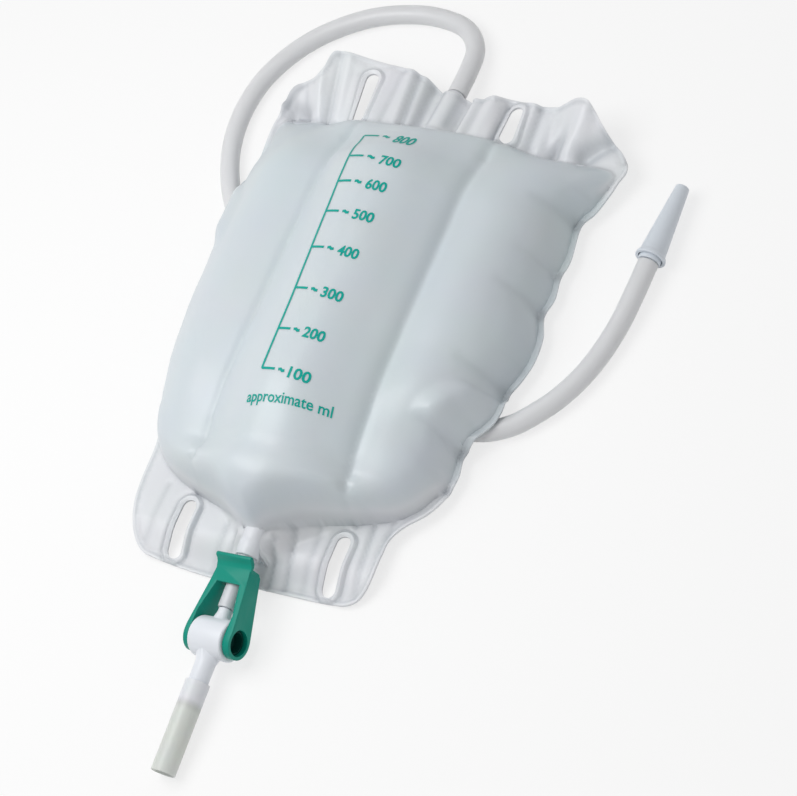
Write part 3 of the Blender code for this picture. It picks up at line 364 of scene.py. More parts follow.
def slot_loop(centre, grown, count=12):
    """A slot's outline, its outer end kept inside the film."""
    radius = SLOT_WIDTH / 2 + grown
    straight = (SLOT_LENGTH - SLOT_WIDTH) / 2
    high = min(centre[1] + straight, top_edge_y(centre[0]) - SLOT_END_FILM - SLOT_WIDTH / 2)
    points = []
    for end, start in ((high, 0.0), (centre[1] - straight, math.pi)):
        for angle in np.linspace(start, start + math.pi, count):
            points.append((centre[0] + radius * math.cos(angle), end + radius * math.sin(angle)))
    return np.array(points)


def even_loop(loop, step):
    """The same closed loop with points about one step apart."""
    ends = closed(np.asarray(loop, float))
    run = np.concatenate([[0], np.cumsum(np.linalg.norm(np.diff(ends, axis=0), axis=1))])
    at = np.linspace(0, run[-1], round(run[-1] / step) + 1)[:-1]
    return np.stack([np.interp(at, run, ends[:, k]) for k in range(2)], axis=1)


def from_slot(centre, grown, x, y):
    """How far plan points lie from a line round a slot, so many millimetres outside it."""
    return distance_to(closed(slot_loop(centre, grown * MM, SLOT_ARC_POINTS)), x, y)


def weld_x(side):
    return WELD_CENTRE + side * WELD_SPACING / 2


def tube_line(step):
    rest = TUBE_DIAMETER / 2 + TUBE_FLOOR_GAP
    points = [(x * MM, y * MM, rest + z * MM) for x, y, z in TUBE_ROUTE]
    return smooth_curve(points, step)


def half_widths_at(seam, x, y):
    rows = np.linspace(0, POUCH_LENGTH, 90)
    sides = []
    for side in (-1, 1):
        line = seam[seam[:, 0] * side > 0]
        best = [np.max(np.where(np.abs(line[:, 1] - row) < 5.6 * MM, line[:, 0] * side, 0)) for row in rows]
        smooth = np.convolve(np.pad(best, 2, mode="edge"), np.ones(5) / 5, mode="valid")
        sides.append(np.interp(y, rows, np.maximum(smooth, FLANGE_LEAST)))
    return np.where(x < 0, sides[0], sides[1])


def inlet_edge_y():
    return min((abs(x), y) for x, y, z in TOP_EDGE)[1] * MM


def inlet_axis_height(y):
    return INLET_PORT_EDGE_HEIGHT + (y - inlet_edge_y()) * math.tan(INLET_PORT_SLOPE)


def port_axis_height(y):
    return VALVE_HEIGHT + (y + VALVE_REACH) * math.tan(VALVE_PITCH)


def sheet_height(x, y):
    """The middle of the welded sheet: the flanges with their folds, and the seam round the pouch."""
    height = SIDE_SEAM_HEIGHT + (BOTTOM_SEAM_HEIGHT - SIDE_SEAM_HEIGHT) * ease(1 - y / LOW_SEAM_REACH)
    edge = BOTTOM_EDGE_HEIGHT + EDGE_WAVE_HEIGHT * np.cos(2 * math.pi * x / EDGE_WAVE_LENGTH)
    height = height + (edge - height) * ease(-y / BOTTOM_FLANGE_DROP)
    corner = ease((np.abs(x) - CORNER_START) / CORNER_REACH)
    seam_top = TOP_SEAM_HEIGHT + (TOP_CORNER_HEIGHT - TOP_SEAM_HEIGHT) * corner
    height = height + (seam_top - height) * ease(1 - (POUCH_LENGTH - y) / TOP_RISE_REACH)
    edge_line = smooth_curve(np.array(TOP_EDGE[::-1]) * MM, 1 * MM)
    order = np.argsort(edge_line[:, 0])
    edge_y = np.interp(x, edge_line[order, 0], edge_line[order, 1])
    edge_z = np.interp(x, edge_line[order, 0], edge_line[order, 2])
    share = np.clip((y - POUCH_LENGTH) / np.maximum(edge_y - POUCH_LENGTH, FLANGE_LEAST), 0, 1)
    height = height + (edge_z - seam_top) * share
    near_port = ease((PORT_LIFT_REACH - np.abs(x)) / PORT_LIFT_SIDE)
    spread = 24 * MM * ease(y / (18 * MM))
    near_outlet = ease((PORT_LIFT_REACH + spread - np.abs(x)) / (PORT_LIFT_SIDE + spread))
    inlet = near_port * ease(1 - (POUCH_LENGTH - y) / INLET_LIFT_REACH)
    height = height + inlet * (inlet_axis_height(y) - height)
    entry = ease(1 + 2 * y / PORT_LIFT_REACH)
    outlet = near_outlet * entry * ease((OUTLET_LIFT_END - y) / OUTLET_LIFT_FADE)
    return height + outlet * (port_axis_height(y) - height)


def dome_height(seam, x, y):
    """How far the front film stands above the seam."""
    across = np.clip(np.abs(x) / half_widths_at(seam, x, y), 0, 1)
    dome = (CREST_HEIGHT - SIDE_SEAM_HEIGHT) * (1 - across**2) ** DOME_ROUNDNESS
    ends = ease((y - WELD_START) / WELD_FADE) * ease((POUCH_LENGTH - WELD_END_GAP - y) / WELD_FADE)
    for side in (-1, 1):
        away = np.abs(x - weld_x(side)) / WELD_VALLEY_WIDTH
        dome = dome - WELD_DEPTH * ends * np.clip(1 - away, 0, 1) ** WELD_SHARPNESS
    top = 1 - (1 - np.clip((POUCH_LENGTH + 0.5 * MM - y) / TOP_DOME_REACH, 0, 1)) ** 2
    return np.maximum(dome, 0) * quarter_round(y / BOTTOM_DOME_REACH) * top


def film_heights(x, y, seam, tube):
    """The height of the front and of the back surface at plan points."""
    middle = sheet_height(x, y)
    in_pouch = inside(seam, x, y)
    to_seam = distance_to(closed(seam), x, y)
    from_seam = np.where(in_pouch, to_seam, 0)
    near_tube = distance_to(tube[:, :2], x, y)
    cover = ease((TUBE_DIAMETER / 2 + TUBE_COVER_GAP + TUBE_SKIRT - near_tube) / TUBE_SKIRT)
    cover = np.where(y < POUCH_LENGTH - TUBE_COVER_END_GAP, cover, 0)
    roof = cover * (TUBE_DIAMETER + TUBE_FLOOR_GAP + TUBE_COVER_GAP)
    lifted = np.maximum(middle, roof + SHEET_THICKNESS / 2)
    middle = middle + (lifted - middle) * ease((TUBE_LIFT_REACH - to_seam) / TUBE_LIFT_FADE)
    entry = quarter_round(from_seam / FRONT_ROLL)
    front = middle + SHEET_THICKNESS / 2 + entry * dome_height(seam, x, y)
    at_top = ease(1 - (POUCH_LENGTH - y) / TOP_ROLL_REACH)
    roll = UNDERSIDE_ROLL + (TOP_UNDERSIDE_ROLL - UNDERSIDE_ROLL) * at_top
    back = (middle - SHEET_THICKNESS / 2) * (1 - quarter_round(from_seam / roll))
    back = np.maximum(back, roof)
    folds = creases(x, y)
    front = front + folds + rumples(x, y, from_seam)
    back = np.where(in_pouch, back, back + np.minimum(folds, 0) * (1 - beside_pouch(y)))
    for centre, radius, axis, ends in PORT_BULGES:
        away = np.abs(x - centre)
        bulge = np.where(
            away < 0.766 * radius,
            np.sqrt(np.maximum(radius**2 - away**2, 0)),
            0.643 * radius - 1.19 * (away - 0.766 * radius),
        )
        reach = ease((y - ends[0]) / (ends[1] - ends[0])) * ease((ends[3] - y) / (ends[3] - ends[2]))
        bulge = bulge * reach
        shown = (bulge > 0) & (reach > 0)
        front = np.where(shown, np.maximum(front, axis(y) + bulge), front)
        back = np.where(shown & ~in_pouch, np.minimum(back, axis(y) - bulge), back)
    return np.maximum(front, back + SHEET_THICKNESS), np.maximum(back, 0.05 * MM)


# Where a port lies between the films: centre, radius of the film over it, height of its axis, and the Y
# values between which the film rises over it, stays and falls away
PORT_BULGES = (
    (0.0, INLET_PORT_DIAMETER / 2 + 0.5 * MM, inlet_axis_height, (150 * MM, 160 * MM, 400 * MM, 401 * MM)),
    (0.0, OUTLET_PORT_DIAMETER / 2 + 0.6 * MM, port_axis_height, (-6.5 * MM, -4.5 * MM, 2 * MM, 8 * MM)),
)

# Creases of the front film in millimetres: start, end, half width, and height at the start and the end
CREASES = (
    (-26.5, 12, -25, 30, 1.3, -0.9, -0.2),
    (-25, 30, -25, 150, 1.6, -0.35, -0.35),
    (-25, 150, -24, 164, 1.5, -0.6, -0.9),
    (-26, 17, -33, 13, 1.4, -0.9, 0),
    (-26, 17, -18, 12, 1.2, -0.7, 0),
    (30, 14, 30, 32, 1.3, -1.0, -0.2),
    (30, 32, 30, 150, 1.6, -0.35, -0.35),
    (30, 150, 28.5, 164.5, 1.5, -0.6, -1.0),
    (30, 19, 38, 15, 1.5, -1.0, 0),
    (30, 19, 23, 15, 1.3, -0.8, 0),
    (57.4, 46, 44, 49, 1.9, -2.6, 0),
    (61, 54, 50, 60, 1.6, -0.7, 0),
    (64.3, 71.4, 49, 73, 2.0, -2.8, 0),
    (66.8, 80, 55, 84, 1.6, -0.5, 0),
    (65.2, 103.6, 51, 105, 2.0, -2.6, 0),
    (65.5, 119.5, 53, 119, 1.8, -2.0, 0),
    (65.3, 140.5, 51, 139, 2.0, -3.2, 0),
    (66.3, 150, 57, 150, 1.4, -0.7, 0),
    (56.5, 33, 46, 39, 1.8, -1.0, 0),
    (-57, 36, -47, 40, 1.8, -0.8, 0),
    (-63, 55, -54, 57, 1.6, -0.5, 0),
    (-66, 140, -57, 139, 1.6, -0.6, 0),
    (28, 32, 28, 150, 5.5, 1.2, 1.2),
    (-26, 34, -26, 150, 5.0, 0.8, 0.8),
    (-62.5, 170.5, -57.5, 167, 3.2, -1.4, -3.2),
    (-60, 165, -66, 172, 1.6, -1.8, -0.6),
    (-63, 165.5, -68, 168, 1.3, -1.2, -0.4),
    (-55, 166, -59, 177, 1.5, -1.2, -0.5),
    (-50, 167, -52, 180, 1.6, 1.3, 0.8),
    (-46.5, 166, -47, 190, 1.3, -1.6, -0.8),
    (-42.5, 167, -43, 190, 1.5, 1.1, 0.6),
    (-27, 168, -26, 189, 1.6, 0.8, 0.6),
    (-22, 167, -21, 189, 1.2, -0.9, -0.8),
    (-16.5, 167, -17, 188, 1.4, 0.8, 0.8),
    (-13.6, 167, -14.6, 188, 1.7, -1.9, -1.7),
    (-8.6, 167, -9.2, 186, 1.7, -1.9, -1.7),
    (7.2, 167, 7.6, 182, 1.5, -1.5, -1.2),
    (9.2, 167, 10.2, 182, 1.0, 1.0, 1.0),
    (12.4, 167, 13.8, 182, 1.6, -1.2, -1.1),
    (17, 167, 19, 182, 1.6, 0.7, 0.7),
    (23.6, 166, 24.4, 181, 1.3, -1.7, -1.2),
    (36.5, 166, 37.5, 181, 1.3, -1.3, -1.4),
    (40.5, 166, 41.5, 182, 1.4, 1.2, 0.8),
    (46.2, 165.8, 49.5, 174.5, 2.0, -3.4, -0.6),
    (52, 167, 55, 179, 2.6, 1.4, 0.6),
    (58, 166.8, 66.8, 172.8, 3.2, -3.8, -2.2),
    (-44, 13, -45, -9, 1.2, -0.5, -0.3),
    (-28, 7, -28, -9, 0.9, -0.8, -0.8),
    (-15.5, 4, -16, -13, 0.9, -0.6, -0.5),
    (-10.5, 1, -11.5, -14, 0.9, -0.9, -0.5),
    (6.5, 1, 6.5, -14, 0.9, -0.9, -0.8),
    (11.5, 6, 12.5, -13, 0.9, -0.9, -0.8),
    (19, 9, 19, -12, 1.0, -0.5, -0.4),
    (36.5, 16, 38.5, -10, 1.0, -0.9, -0.5),
    (43, 18, 42, 6, 1.2, -0.7, -0.2),
)

# Painted shade in the folds where the scalloped side turns in: X, Y and how dark
NOTCH_SHADES = (
    (57.0, 46, 0.5),
    (63.6, 71.4, 0.5),
    (64.6, 103.6, 0.6),
    (65.0, 119.5, 0.35),
    (64.6, 140.5, 0.75),
)


def creases(x, y):
    """The narrow creases, pleats and weld lines, as height to add to the front film."""
    height = np.zeros(np.shape(x))
    for ax, ay, bx, by, width, first, last in CREASES:
        start = np.array((ax, ay)) * MM
        run = np.array((bx, by)) * MM - start
        share = ((x - start[0]) * run[0] + (y - start[1]) * run[1]) / (run @ run)
        near = np.clip(share, 0, 1)
        away = np.hypot(x - start[0] - near * run[0], y - start[1] - near * run[1])
        height = height + (first + (last - first) * near) * MM * bell(away, width * MM)
    return height


def rumples(x, y, from_seam):
    """Soft, shallow waves of film that is only part filled, strongest near the seam."""
    broad = np.sin(x / (5.1 * MM) + 1.7 * np.sin(y / (19 * MM)))
    broad = broad * np.sin(y / (7.3 * MM) + 1.3 * np.sin(x / (13 * MM)))
    small = np.sin(y / (3.9 * MM) + x / (11 * MM)) * np.sin(x / (9.7 * MM) - y / (23 * MM))
    depth = np.where(from_seam > 0, 0.10 + 0.22 * bell(from_seam - 6 * MM, 7 * MM), 0.05) * MM
    return depth * (broad + 0.6 * small) * np.minimum(from_seam / (3 * MM) + 0.3, 1)


def new_object(name, data):
    item = bpy.data.objects.new(name, data)
    bpy.context.scene.collection.objects.link(item)
    return item


def node_adder(tree):
    """A function that adds a node with its settings to a tree."""

    def add(kind, **values):
        node = tree.nodes.new(kind)
        for key, value in values.items():
            if key in node.inputs:
                node.inputs[key].default_value = value
            else:
                setattr(node, key, value)
        return node

    return add


def node_material(name):
    """An empty node material, and functions that add a node to it and link two sockets."""
    material = bpy.data.materials.new(name)
    material.use_nodes = True
    tree = material.node_tree
    tree.nodes.clear()
    return material, node_adder(tree), tree.links.new


def shaded_material(name, values):
    """A material of one principled shader with the given inputs."""
    material, add, link = node_material(name)
    shader = add("ShaderNodeBsdfPrincipled", **values)
    link(shader.outputs["BSDF"], add("ShaderNodeOutputMaterial").inputs["Surface"])
    return material, shader, add, link


def fill_socket(link, socket, value):
    """Gives an input a number, a colour or another node's output."""
    if isinstance(value, bpy.types.NodeSocket):
        link(value, socket)
    elif isinstance(value, (int, float)):
        socket.default_value = value
    else:
        socket.default_value = (*value, 1)


def mixed(add, link, share, first, second, blend="MIX"):
    mix = add("ShaderNodeMix", data_type="RGBA", blend_type=blend)
    for name, value in (("Factor", share), ("A", first), ("B", second)):
        fill_socket(link, mix.inputs[name], value)
    return mix.outputs["Result"]


def worked(add, link, operation, *values):
    node = add("ShaderNodeMath", operation=operation)
    for socket, value in zip(node.inputs, values):
        fill_socket(link, socket, value)
    return node.outputs[0]


def soft_step(add, link, value, start, stop):
    """Zero before the start and one past the stop, with a soft change between."""
    node = add("ShaderNodeMapRange", interpolation_type="SMOOTHSTEP", **{"From Min": start, "From Max": stop})
    link(value, node.inputs["Value"])
    return node.outputs[0]


def grained(add, link, shader, scale, strength, depth=GRAIN_DEPTH):
    """Roughens a shader with fine noise, and gives the coordinates and the noise."""
    coords = add("ShaderNodeTexCoord")
    noise = add("ShaderNodeTexNoise", Scale=scale, Detail=2.0)
    link(coords.outputs["Object"], noise.inputs["Vector"])
    bump = add("ShaderNodeBump", Strength=strength, Distance=depth)
    link(noise.outputs["Fac"], bump.inputs["Height"])
    link(bump.outputs["Normal"], shader.inputs["Normal"])
    return coords, noise


def seen_rays(add, link):
    """One where a surface is seen by the camera, in a reflection or through a clear part."""
    path = add("ShaderNodeLightPath")
    plain = worked(add, link, "MAXIMUM", path.outputs["Is Camera Ray"], path.outputs["Is Glossy Ray"])
    return worked(add, link, "MAXIMUM", plain, path.outputs["Is Transmission Ray"])


def film_material(settings):
    """Milky film: brighter where both films are welded flat, with a fine frosted grain."""
    values = {
        "Roughness": settings.roughness,
        "IOR": 1.45,
        "Coat Weight": 0.15,
        "Coat Roughness": 0.25,
        "Subsurface Weight": 0.3,
        "Subsurface Scale": 4 * MM,
        "Subsurface Radius": EVEN_SCATTER,
    }
    material, shader, add, link = shaded_material("frosted_film_look", values)
    coords = grained(add, link, shader, 900.0, 0.05)[0]
    pouch = add("ShaderNodeAttribute", attribute_name="pouch")
    lines = add("ShaderNodeAttribute", attribute_name="line")
    tone = mixed(add, link, pouch.outputs["Fac"], settings.flange_colour, settings.pouch_colour)
    # The 'line' attribute darkens the film along pressed weld lines and paints shade into its folds, creases
    # and notches
    pressed = mixed(add, link, lines.outputs["Fac"], tone, settings.line_colour)
    cloud = add("ShaderNodeTexNoise", Scale=45.0, Detail=3.0)
    link(coords.outputs["Object"], cloud.inputs["Vector"])
    link(mixed(add, link, 0.06, pressed, cloud.outputs["Color"], "MULTIPLY"), shader.inputs["Base Color"])
    return material


def plastic_material(
    name, colour, roughness, scatter=0.0, grain_scale=600.0, grain=0.03, clear=0.0, gloss=0.5
):
    """Smooth plastic or rubber with a fine grain."""
    values = {
        "Base Color": (*colour, 1),
        "Roughness": roughness,
        "IOR": 1.46,
        "Subsurface Weight": scatter,
        "Subsurface Scale": 2 * MM,
        "Subsurface Radius": EVEN_SCATTER,
        "Specular IOR Level": gloss,
        "Transmission Weight": clear,
    }
    material, shader, add, link = shaded_material(name, values)
    grained(add, link, shader, grain_scale, grain)
    return material


def sleeve_material(settings):
    """Frosted soft tube, paler where the white spout shows through, with a dull ring at the spout's end."""
    values = {
        "Roughness": 0.36,
        "IOR": 1.46,
        "Subsurface Weight": 0.3,
        "Subsurface Scale": 2 * MM,
        "Subsurface Radius": EVEN_SCATTER,
    }
    material, shader, add, link = shaded_material("sleeve_look", values)
    coords, cloud = grained(add, link, shader, 160.0, 0.05)
    parts = add("ShaderNodeSeparateXYZ")
    link(coords.outputs["Object"], parts.inputs[0])
    along = parts.outputs["Y"]
    end = SEAM_ORIGIN.y - VALVE_REACH - SPOUT_LENGTH * math.cos(VALVE_PITCH)
    over_spout = soft_step(add, link, along, end - 0.8 * MM, end + 1.2 * MM)
    tone = mixed(add, link, over_spout, settings.sleeve, settings.spout_tint)
    away = worked(add, link, "ABSOLUTE", worked(add, link, "SUBTRACT", along, end))
    dull = worked(add, link, "MULTIPLY", soft_step(add, link, away, 2.2 * MM, 0.4 * MM), 0.35)
    ring = mixed(add, link, dull, tone, SPOUT_END_COLOUR)
    link(mixed(add, link, 0.08, ring, cloud.outputs["Color"], "MULTIPLY"), shader.inputs["Base Color"])
    return material


def ink_material(settings):
    values = {"Base Color": (*settings.colour, 1), "Roughness": 0.45, "Specular IOR Level": 0.2}
    material, shader, add, link = shaded_material("print_ink", values)
    grained(add, link, shader, 500.0, 0.05, 0.1 * MM)
    return material


def fine_points(outer, seam, step):
    """Points beside the seam, the edge and the slots and over the ports, where the film bends most."""
    fine = [*seam]
    for inwards in (-0.7, 0.35, 1.0, 1.9):
        fine += [*moved_inwards(seam, inwards * MM)]
    for inwards in (0.5, 1.1, 1.8):
        fine += [*moved_inwards(outer, inwards * MM)]
    for centre in slot_centres():
        for grown in (0.35, 0.8, 1.3, 1.9, 2.5, 3.1):
            fine += [*even_loop(slot_loop(centre, grown * MM, SLOT_ARC_POINTS), SLOT_STEP)]
    half = (0.25, 0.5, 0.72, 0.9, 1.05, 1.3)
    for centre, radius, axis, ends in PORT_BULGES:
        rows = np.arange(max(ends[0], -14 * MM), min(ends[3], 190 * MM), 0.8 * step)
        for share in (*(-s for s in reversed(half)), 0, *half):
            fine += [(centre + share * radius, y) for y in rows]
    return np.array(fine)


def grid_points(outer, seam, step):
    """An even grid of triangles' corners, clear of the lines that have points of their own."""
    low, high = outer.min(axis=0), outer.max(axis=0)
    grid = []
    for k, y in enumerate(np.arange(low[1], high[1], step * math.sqrt(3) / 2)):
        grid += [(x, y) for x in np.arange(low[0] + (k % 2) * step / 2, high[0], step)]
    x, y = np.array(grid).T
    to_seam = distance_to(closed(seam), x, y)
    keep = np.minimum(distance_to(closed(outer), x, y), to_seam) > 0.6 * step
    keep &= (to_seam > 2.4 * MM) | ~inside(seam, x, y)
    for centre in slot_centres():
        keep &= from_slot(centre, 1.7, x, y) > 2.1 * MM
    return np.array(grid)[keep]


def film_plan(outer, seam, slots, step):
    """Plan triangles of the film: points, and faces that all turn the same way."""
    points = []
    edges = []
    for loop in (outer, *slots):
        start, count = len(points), len(loop)
        points.extend(Vector(p) for p in loop)
        edges.extend((start + i, start + (i + 1) % count) for i in range(count))
    extra = np.vstack([fine_points(outer, seam, step), grid_points(outer, seam, step)])
    x, y = extra.T
    good = inside(outer, x, y) & (distance_to(closed(outer), x, y) > 0.3 * MM)
    for loop in slots:
        good &= ~inside(loop, x, y) & (distance_to(closed(loop), x, y) > 0.2 * MM)
    points.extend(Vector(p) for p in extra[good])
    made = delaunay_2d_cdt(points, edges, [], 1, 1e-7)
    plan = np.array([tuple(v) for v in made[0]])
    faces = np.array([f for f in made[2] if len(f) == 3])
    x, y = plan[faces].mean(axis=1).T
    keep = inside(outer, x, y)
    for loop in slots:
        keep &= ~inside(loop, x, y)
    used, faces = np.unique(faces[keep], return_inverse=True)
    plan, faces = plan[used], faces.reshape(-1, 3)
    a, b, c = (plan[faces[:, k]] for k in range(3))
    turn = (b - a)[:, 0] * (c - a)[:, 1] - (b - a)[:, 1] * (c - a)[:, 0]
    faces[turn < 0] = faces[turn < 0][:, ::-1]
    return plan, faces


def from_edge(x, y):
    """How far plan points lie from the sheet's free edge."""
    return distance_to(closed(sheet_edge(1.2 * MM)[:, :2]), x, y)


def film_surfaces(x, y, seam):
    """The front and the back of the film with the pressed rims of its slots and its edge."""
    front, back = film_heights(x, y, seam, tube_line(TUBE_STEP))
    for centre in slot_centres():
        for grown, lift in ((1.2, 0.6), (2.4, -0.5)):
            front = front + lift * MM * bell(from_slot(centre, grown, x, y), 0.65 * MM)
    rim = from_edge(x, y)
    ridge = bell(rim - 0.5 * MM, 0.5 * MM) - bell(rim - 1.8 * MM, 0.5 * MM)
    front = front + 0.25 * MM * ridge * (1 - 0.9 * beside_pouch(y))
    return np.maximum(front, back + 0.4 * SHEET_THICKNESS), back


def film_shades(x, y, seam):
    """How far the film shows its contents, and how dark its pressed lines are, with painted shade in its
    folds, creases, side notches and slot grooves and beside the inlet port.
    """
    in_pouch = inside(seam, x, y)
    to_seam = distance_to(closed(seam), x, y)
    beside = beside_pouch(y)
    pouch = np.maximum(ease(np.where(in_pouch, to_seam, 0) / (2.5 * MM)), beside)
    line = 0.35 * (1 - beside) * bell(to_seam, 0.7 * MM)
    line += 0.3 * (1 - 0.7 * beside) * bell(from_edge(x, y) - 1.3 * MM, 0.5 * MM)
    for centre in slot_centres():
        # The dark ring round each slot is partly its pressed weld and partly painted shade in the groove
        # beside it
        line += 0.45 * bell(from_slot(centre, 2.3, x, y), 0.6 * MM)
    low = ~in_pouch * ease((40 * MM - y) / (10 * MM))
    # Hollow creases are darkened: pressed weld lines, and painted shade in folds and pleats; the bottom
    # flange is a little darker overall
    crease_lines_and_shade = np.clip(-creases(x, y) / ((1.8 - 0.9 * low) * MM), 0, 1)
    line += 0.12 * low + np.where(in_pouch, 0.12, 0.55) * crease_lines_and_shade
    # Painted shade in the folds where the scalloped side turns in
    for notch_x, notch_y, depth in NOTCH_SHADES:
        line += depth * bell(np.hypot(x - notch_x * MM, y - notch_y * MM), 2 * MM)
    # Painted shade on the film beside the inlet port, where it turns down to the port
    port_side_shade = bell(np.abs(x) - 3.4 * MM, 1.3 * MM) * ease((y - 166 * MM) / (3 * MM))
    return {"pouch": pouch, "line": np.clip(line + 0.4 * port_side_shade, 0, 0.75)}


def beside_pouch(y):
    """One along the sides, where the pouch runs up to the sheet's edge."""
    return ease((y - 30 * MM) / (10 * MM)) * ease((158 * MM - y) / (8 * MM))


def build_film(settings):
    """The front and back film as one closed skin, with its seam, flanges and slots."""
    seam = seam_loop(0.9 * settings.grid_step)
    slots = [even_loop(slot_loop(c, 0.0), SLOT_STEP) for c in slot_centres()]
    outer = sheet_edge(0.9 * settings.grid_step)[:, :2]
    plan, faces = film_plan(outer, seam, slots, settings.grid_step)
    x, y = plan.T
    front, back = film_surfaces(x, y, seam)
    count = len(plan)
    used = set()
    for i, j, k in faces.tolist():
        used.update(((i, j), (j, k), (k, i)))
    walls = [(j, i, i + count, j + count) for i, j in used if (j, i) not in used]
    points = np.vstack([np.stack([x, y, front], axis=1), np.stack([x, y, back], axis=1)])
    polygons = [*faces.tolist(), *(faces[:, ::-1] + count).tolist(), *walls]
    mesh = bpy.data.meshes.new("film_bag")
    mesh.from_pydata((points + np.array(SEAM_ORIGIN)).tolist(), [], polygons)
    x, y = (np.array([v.co[:2] for v in mesh.vertices]) - np.array(SEAM_ORIGIN[:2])).T
    for name, values in film_shades(x, y, seam).items():
        attribute = mesh.attributes.new(name, "FLOAT", "POINT")
        attribute.data.foreach_set("value", values.astype(np.float32))
    finish_part(mesh, Matrix(), film_material(settings), BODY, "bag", 55)


def add_strip(flat, points, width):
    """A printed line along plan points."""
    line = smooth_curve(points, 1 * MM)
    along = np.gradient(line, axis=0)
    along /= np.linalg.norm(along, axis=1)[:, None]
    side = np.stack([-along[:, 1], along[:, 0]], axis=1) * width / 2
    left = [flat.verts.new((*p, 0)) for p in line + side]
    right = [flat.verts.new((*p, 0)) for p in line - side]
    for i in range(len(line) - 1):
        flat.faces.new((right[i], right[i + 1], left[i + 1], left[i]))


def add_words(flat, words, place, size, width, stroke, turn=0.0):
    """Printed words with their left end at a plan place, their width as given."""
    curve = bpy.data.curves.new("words", "FONT")
    curve.body = words
    curve.size = size
    curve.offset = stroke * size
    curve.resolution_u = 3
    item = new_object("words", curve)
    mesh = bpy.data.meshes.new_from_object(item.evaluated_get(bpy.context.evaluated_depsgraph_get()))
    part = bmesh.new()
    part.from_mesh(mesh)
    bmesh.ops.triangulate(part, faces=part.faces)
    bmesh.ops.subdivide_edges(part, edges=[e for e in part.edges if e.calc_length() > 0.8 * MM], cuts=1)
    bmesh.ops.triangulate(part, faces=part.faces)
    low = min(v.co.x for v in part.verts)
    high = max(v.co.x for v in part.verts)
    part.transform(
        Matrix.Translation((*place, 0))
        @ Matrix.Rotation(turn, 4, "Z")
        @ Matrix.Diagonal((width / (high - low), 1, 1, 1))
        @ Matrix.Translation((-low, -0.35 * size, 0))
    )
    part.to_mesh(mesh)
    part.free()
    flat.from_mesh(mesh)
    bpy.data.objects.remove(item)
    bpy.data.meshes.remove(mesh)


def build_print(settings):
    """The volume scale: a long line, ticks, dashes and numbers, laid on the film."""
    flat = bmesh.new()
    width = settings.line_width
    add_strip(flat, [(x * MM, y * MM) for value, x, y, text_x, text_y in SCALE_ROWS], width)
    for value, x, y, text_x, text_y in SCALE_ROWS:
        start, place = np.array((x, y)) * MM, np.array((text_x, text_y)) * MM
        run = place - start
        add_strip(flat, [start, start + TICK_SHARE * run], width)
        dash = []
        for t in np.linspace(*DASH_SHARES, 7):
            dash.append(start + t * run + (0, DASH_WAVE * math.sin((t - DASH_SHARES[0]) * DASH_WAVE_RATE)))
        add_strip(flat, dash, 1.2 * width)
        size = TOP_DIGIT_SIZE if value == SCALE_ROWS[0][0] else DIGIT_SIZE
        add_words(flat, str(value), place, size, NUMBER_WIDTH, settings.boldness)
    place = np.array(UNIT_PLACE) * MM
    add_words(flat, "approximate ml", place, UNIT_SIZE, UNIT_WIDTH, UNIT_STROKE, UNIT_TURN)
    x, y = np.array([v.co[:2] for v in flat.verts]).T
    heights = film_heights(x, y, seam_loop(1.5 * MM), tube_line(TUBE_STEP))[0]
    for v, height in zip(flat.verts, heights):
        v.co = Vector((v.co.x, v.co.y, height + settings.lift)) + SEAM_ORIGIN
    mesh = bpy.data.meshes.new("scale_print")
    flat.to_mesh(mesh)
    flat.free()
    mesh.materials.append(ink_material(settings))
    item = new_object("scale_print", mesh)
    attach(item, BODY)


def ring_mesh(name, rings, round_again):
    """A closed mesh from rings of points, each joined to the next, then back to the first or capped."""
    bm = bmesh.new()
    made = [[bm.verts.new(p) for p in ring] for ring in rings]
    if round_again:
        made.append(made[0])
    else:
        bm.faces.new(made[0])
        bm.faces.new(made[-1])
    for low, high in zip(made, made[1:]):
        for k in range(len(low)):
            j = (k + 1) % len(low)
            bm.faces.new((low[k], low[j], high[j], high[k]))
    bmesh.ops.recalc_face_normals(bm, faces=bm.faces)
    mesh = bpy.data.meshes.new(name)
    bm.to_mesh(mesh)
    bm.free()
    return mesh


def round_angles(count):
    """Angles of evenly spaced points all round a ring."""
    return [2 * math.pi * k / count for k in range(count)]


def swept_tube(name, line, outer, bore, count):
    """A soft tube with its bore, swept along a line without twisting."""
    points = [Vector(p) for p in line]
    side = Vector((0, 0, 1))
    outside, wall = [], []
    for k, point in enumerate(points):
        along = (points[min(k + 1, len(points) - 1)] - points[max(k - 1, 0)]).normalized()
        side = (side - along * side.dot(along)).normalized()
        across = along.cross(side)
        spokes = [math.cos(a) * side + math.sin(a) * across for a in round_angles(count)]
        outside.append([point + outer * spoke for spoke in spokes])
        wall.append([point + bore * spoke for spoke in spokes])
    return ring_mesh(name, [*outside, *reversed(wall)], True)


def build_tube(settings):
    """The soft tube, laid along its route as a cord."""
    line = tube_line(2.4 * MM) + np.array(SEAM_ORIGIN)
    look = plastic_material("tube_look", settings.colour, settings.roughness, 0.3, clear=settings.clearness)
    mesh = swept_tube("inlet_tube_look", line, TUBE_DIAMETER / 2, TUBE_BORE / 2, TUBE_SIDES)
    item = finish_part(mesh, Matrix(), look, BODY, "inlet_tube", 60)


def rounded(profile, radius):
    """A profile with each inner corner turned into a small arc."""
    points = [Vector(p) for p in profile]
    made = [points[0]]
    for before, corner, after in zip(points, points[1:], points[2:]):
        back, on = before - corner, after - corner
        reach = min(radius, 0.45 * back.length, 0.45 * on.length)
        start, stop = corner + back.normalized() * reach, corner + on.normalized() * reach
        for t in (0, 0.33, 0.67, 1):
            made.append((1 - t) ** 2 * start + 2 * t * (1 - t) * corner + t * t * stop)
    made.append(points[-1])
    return made


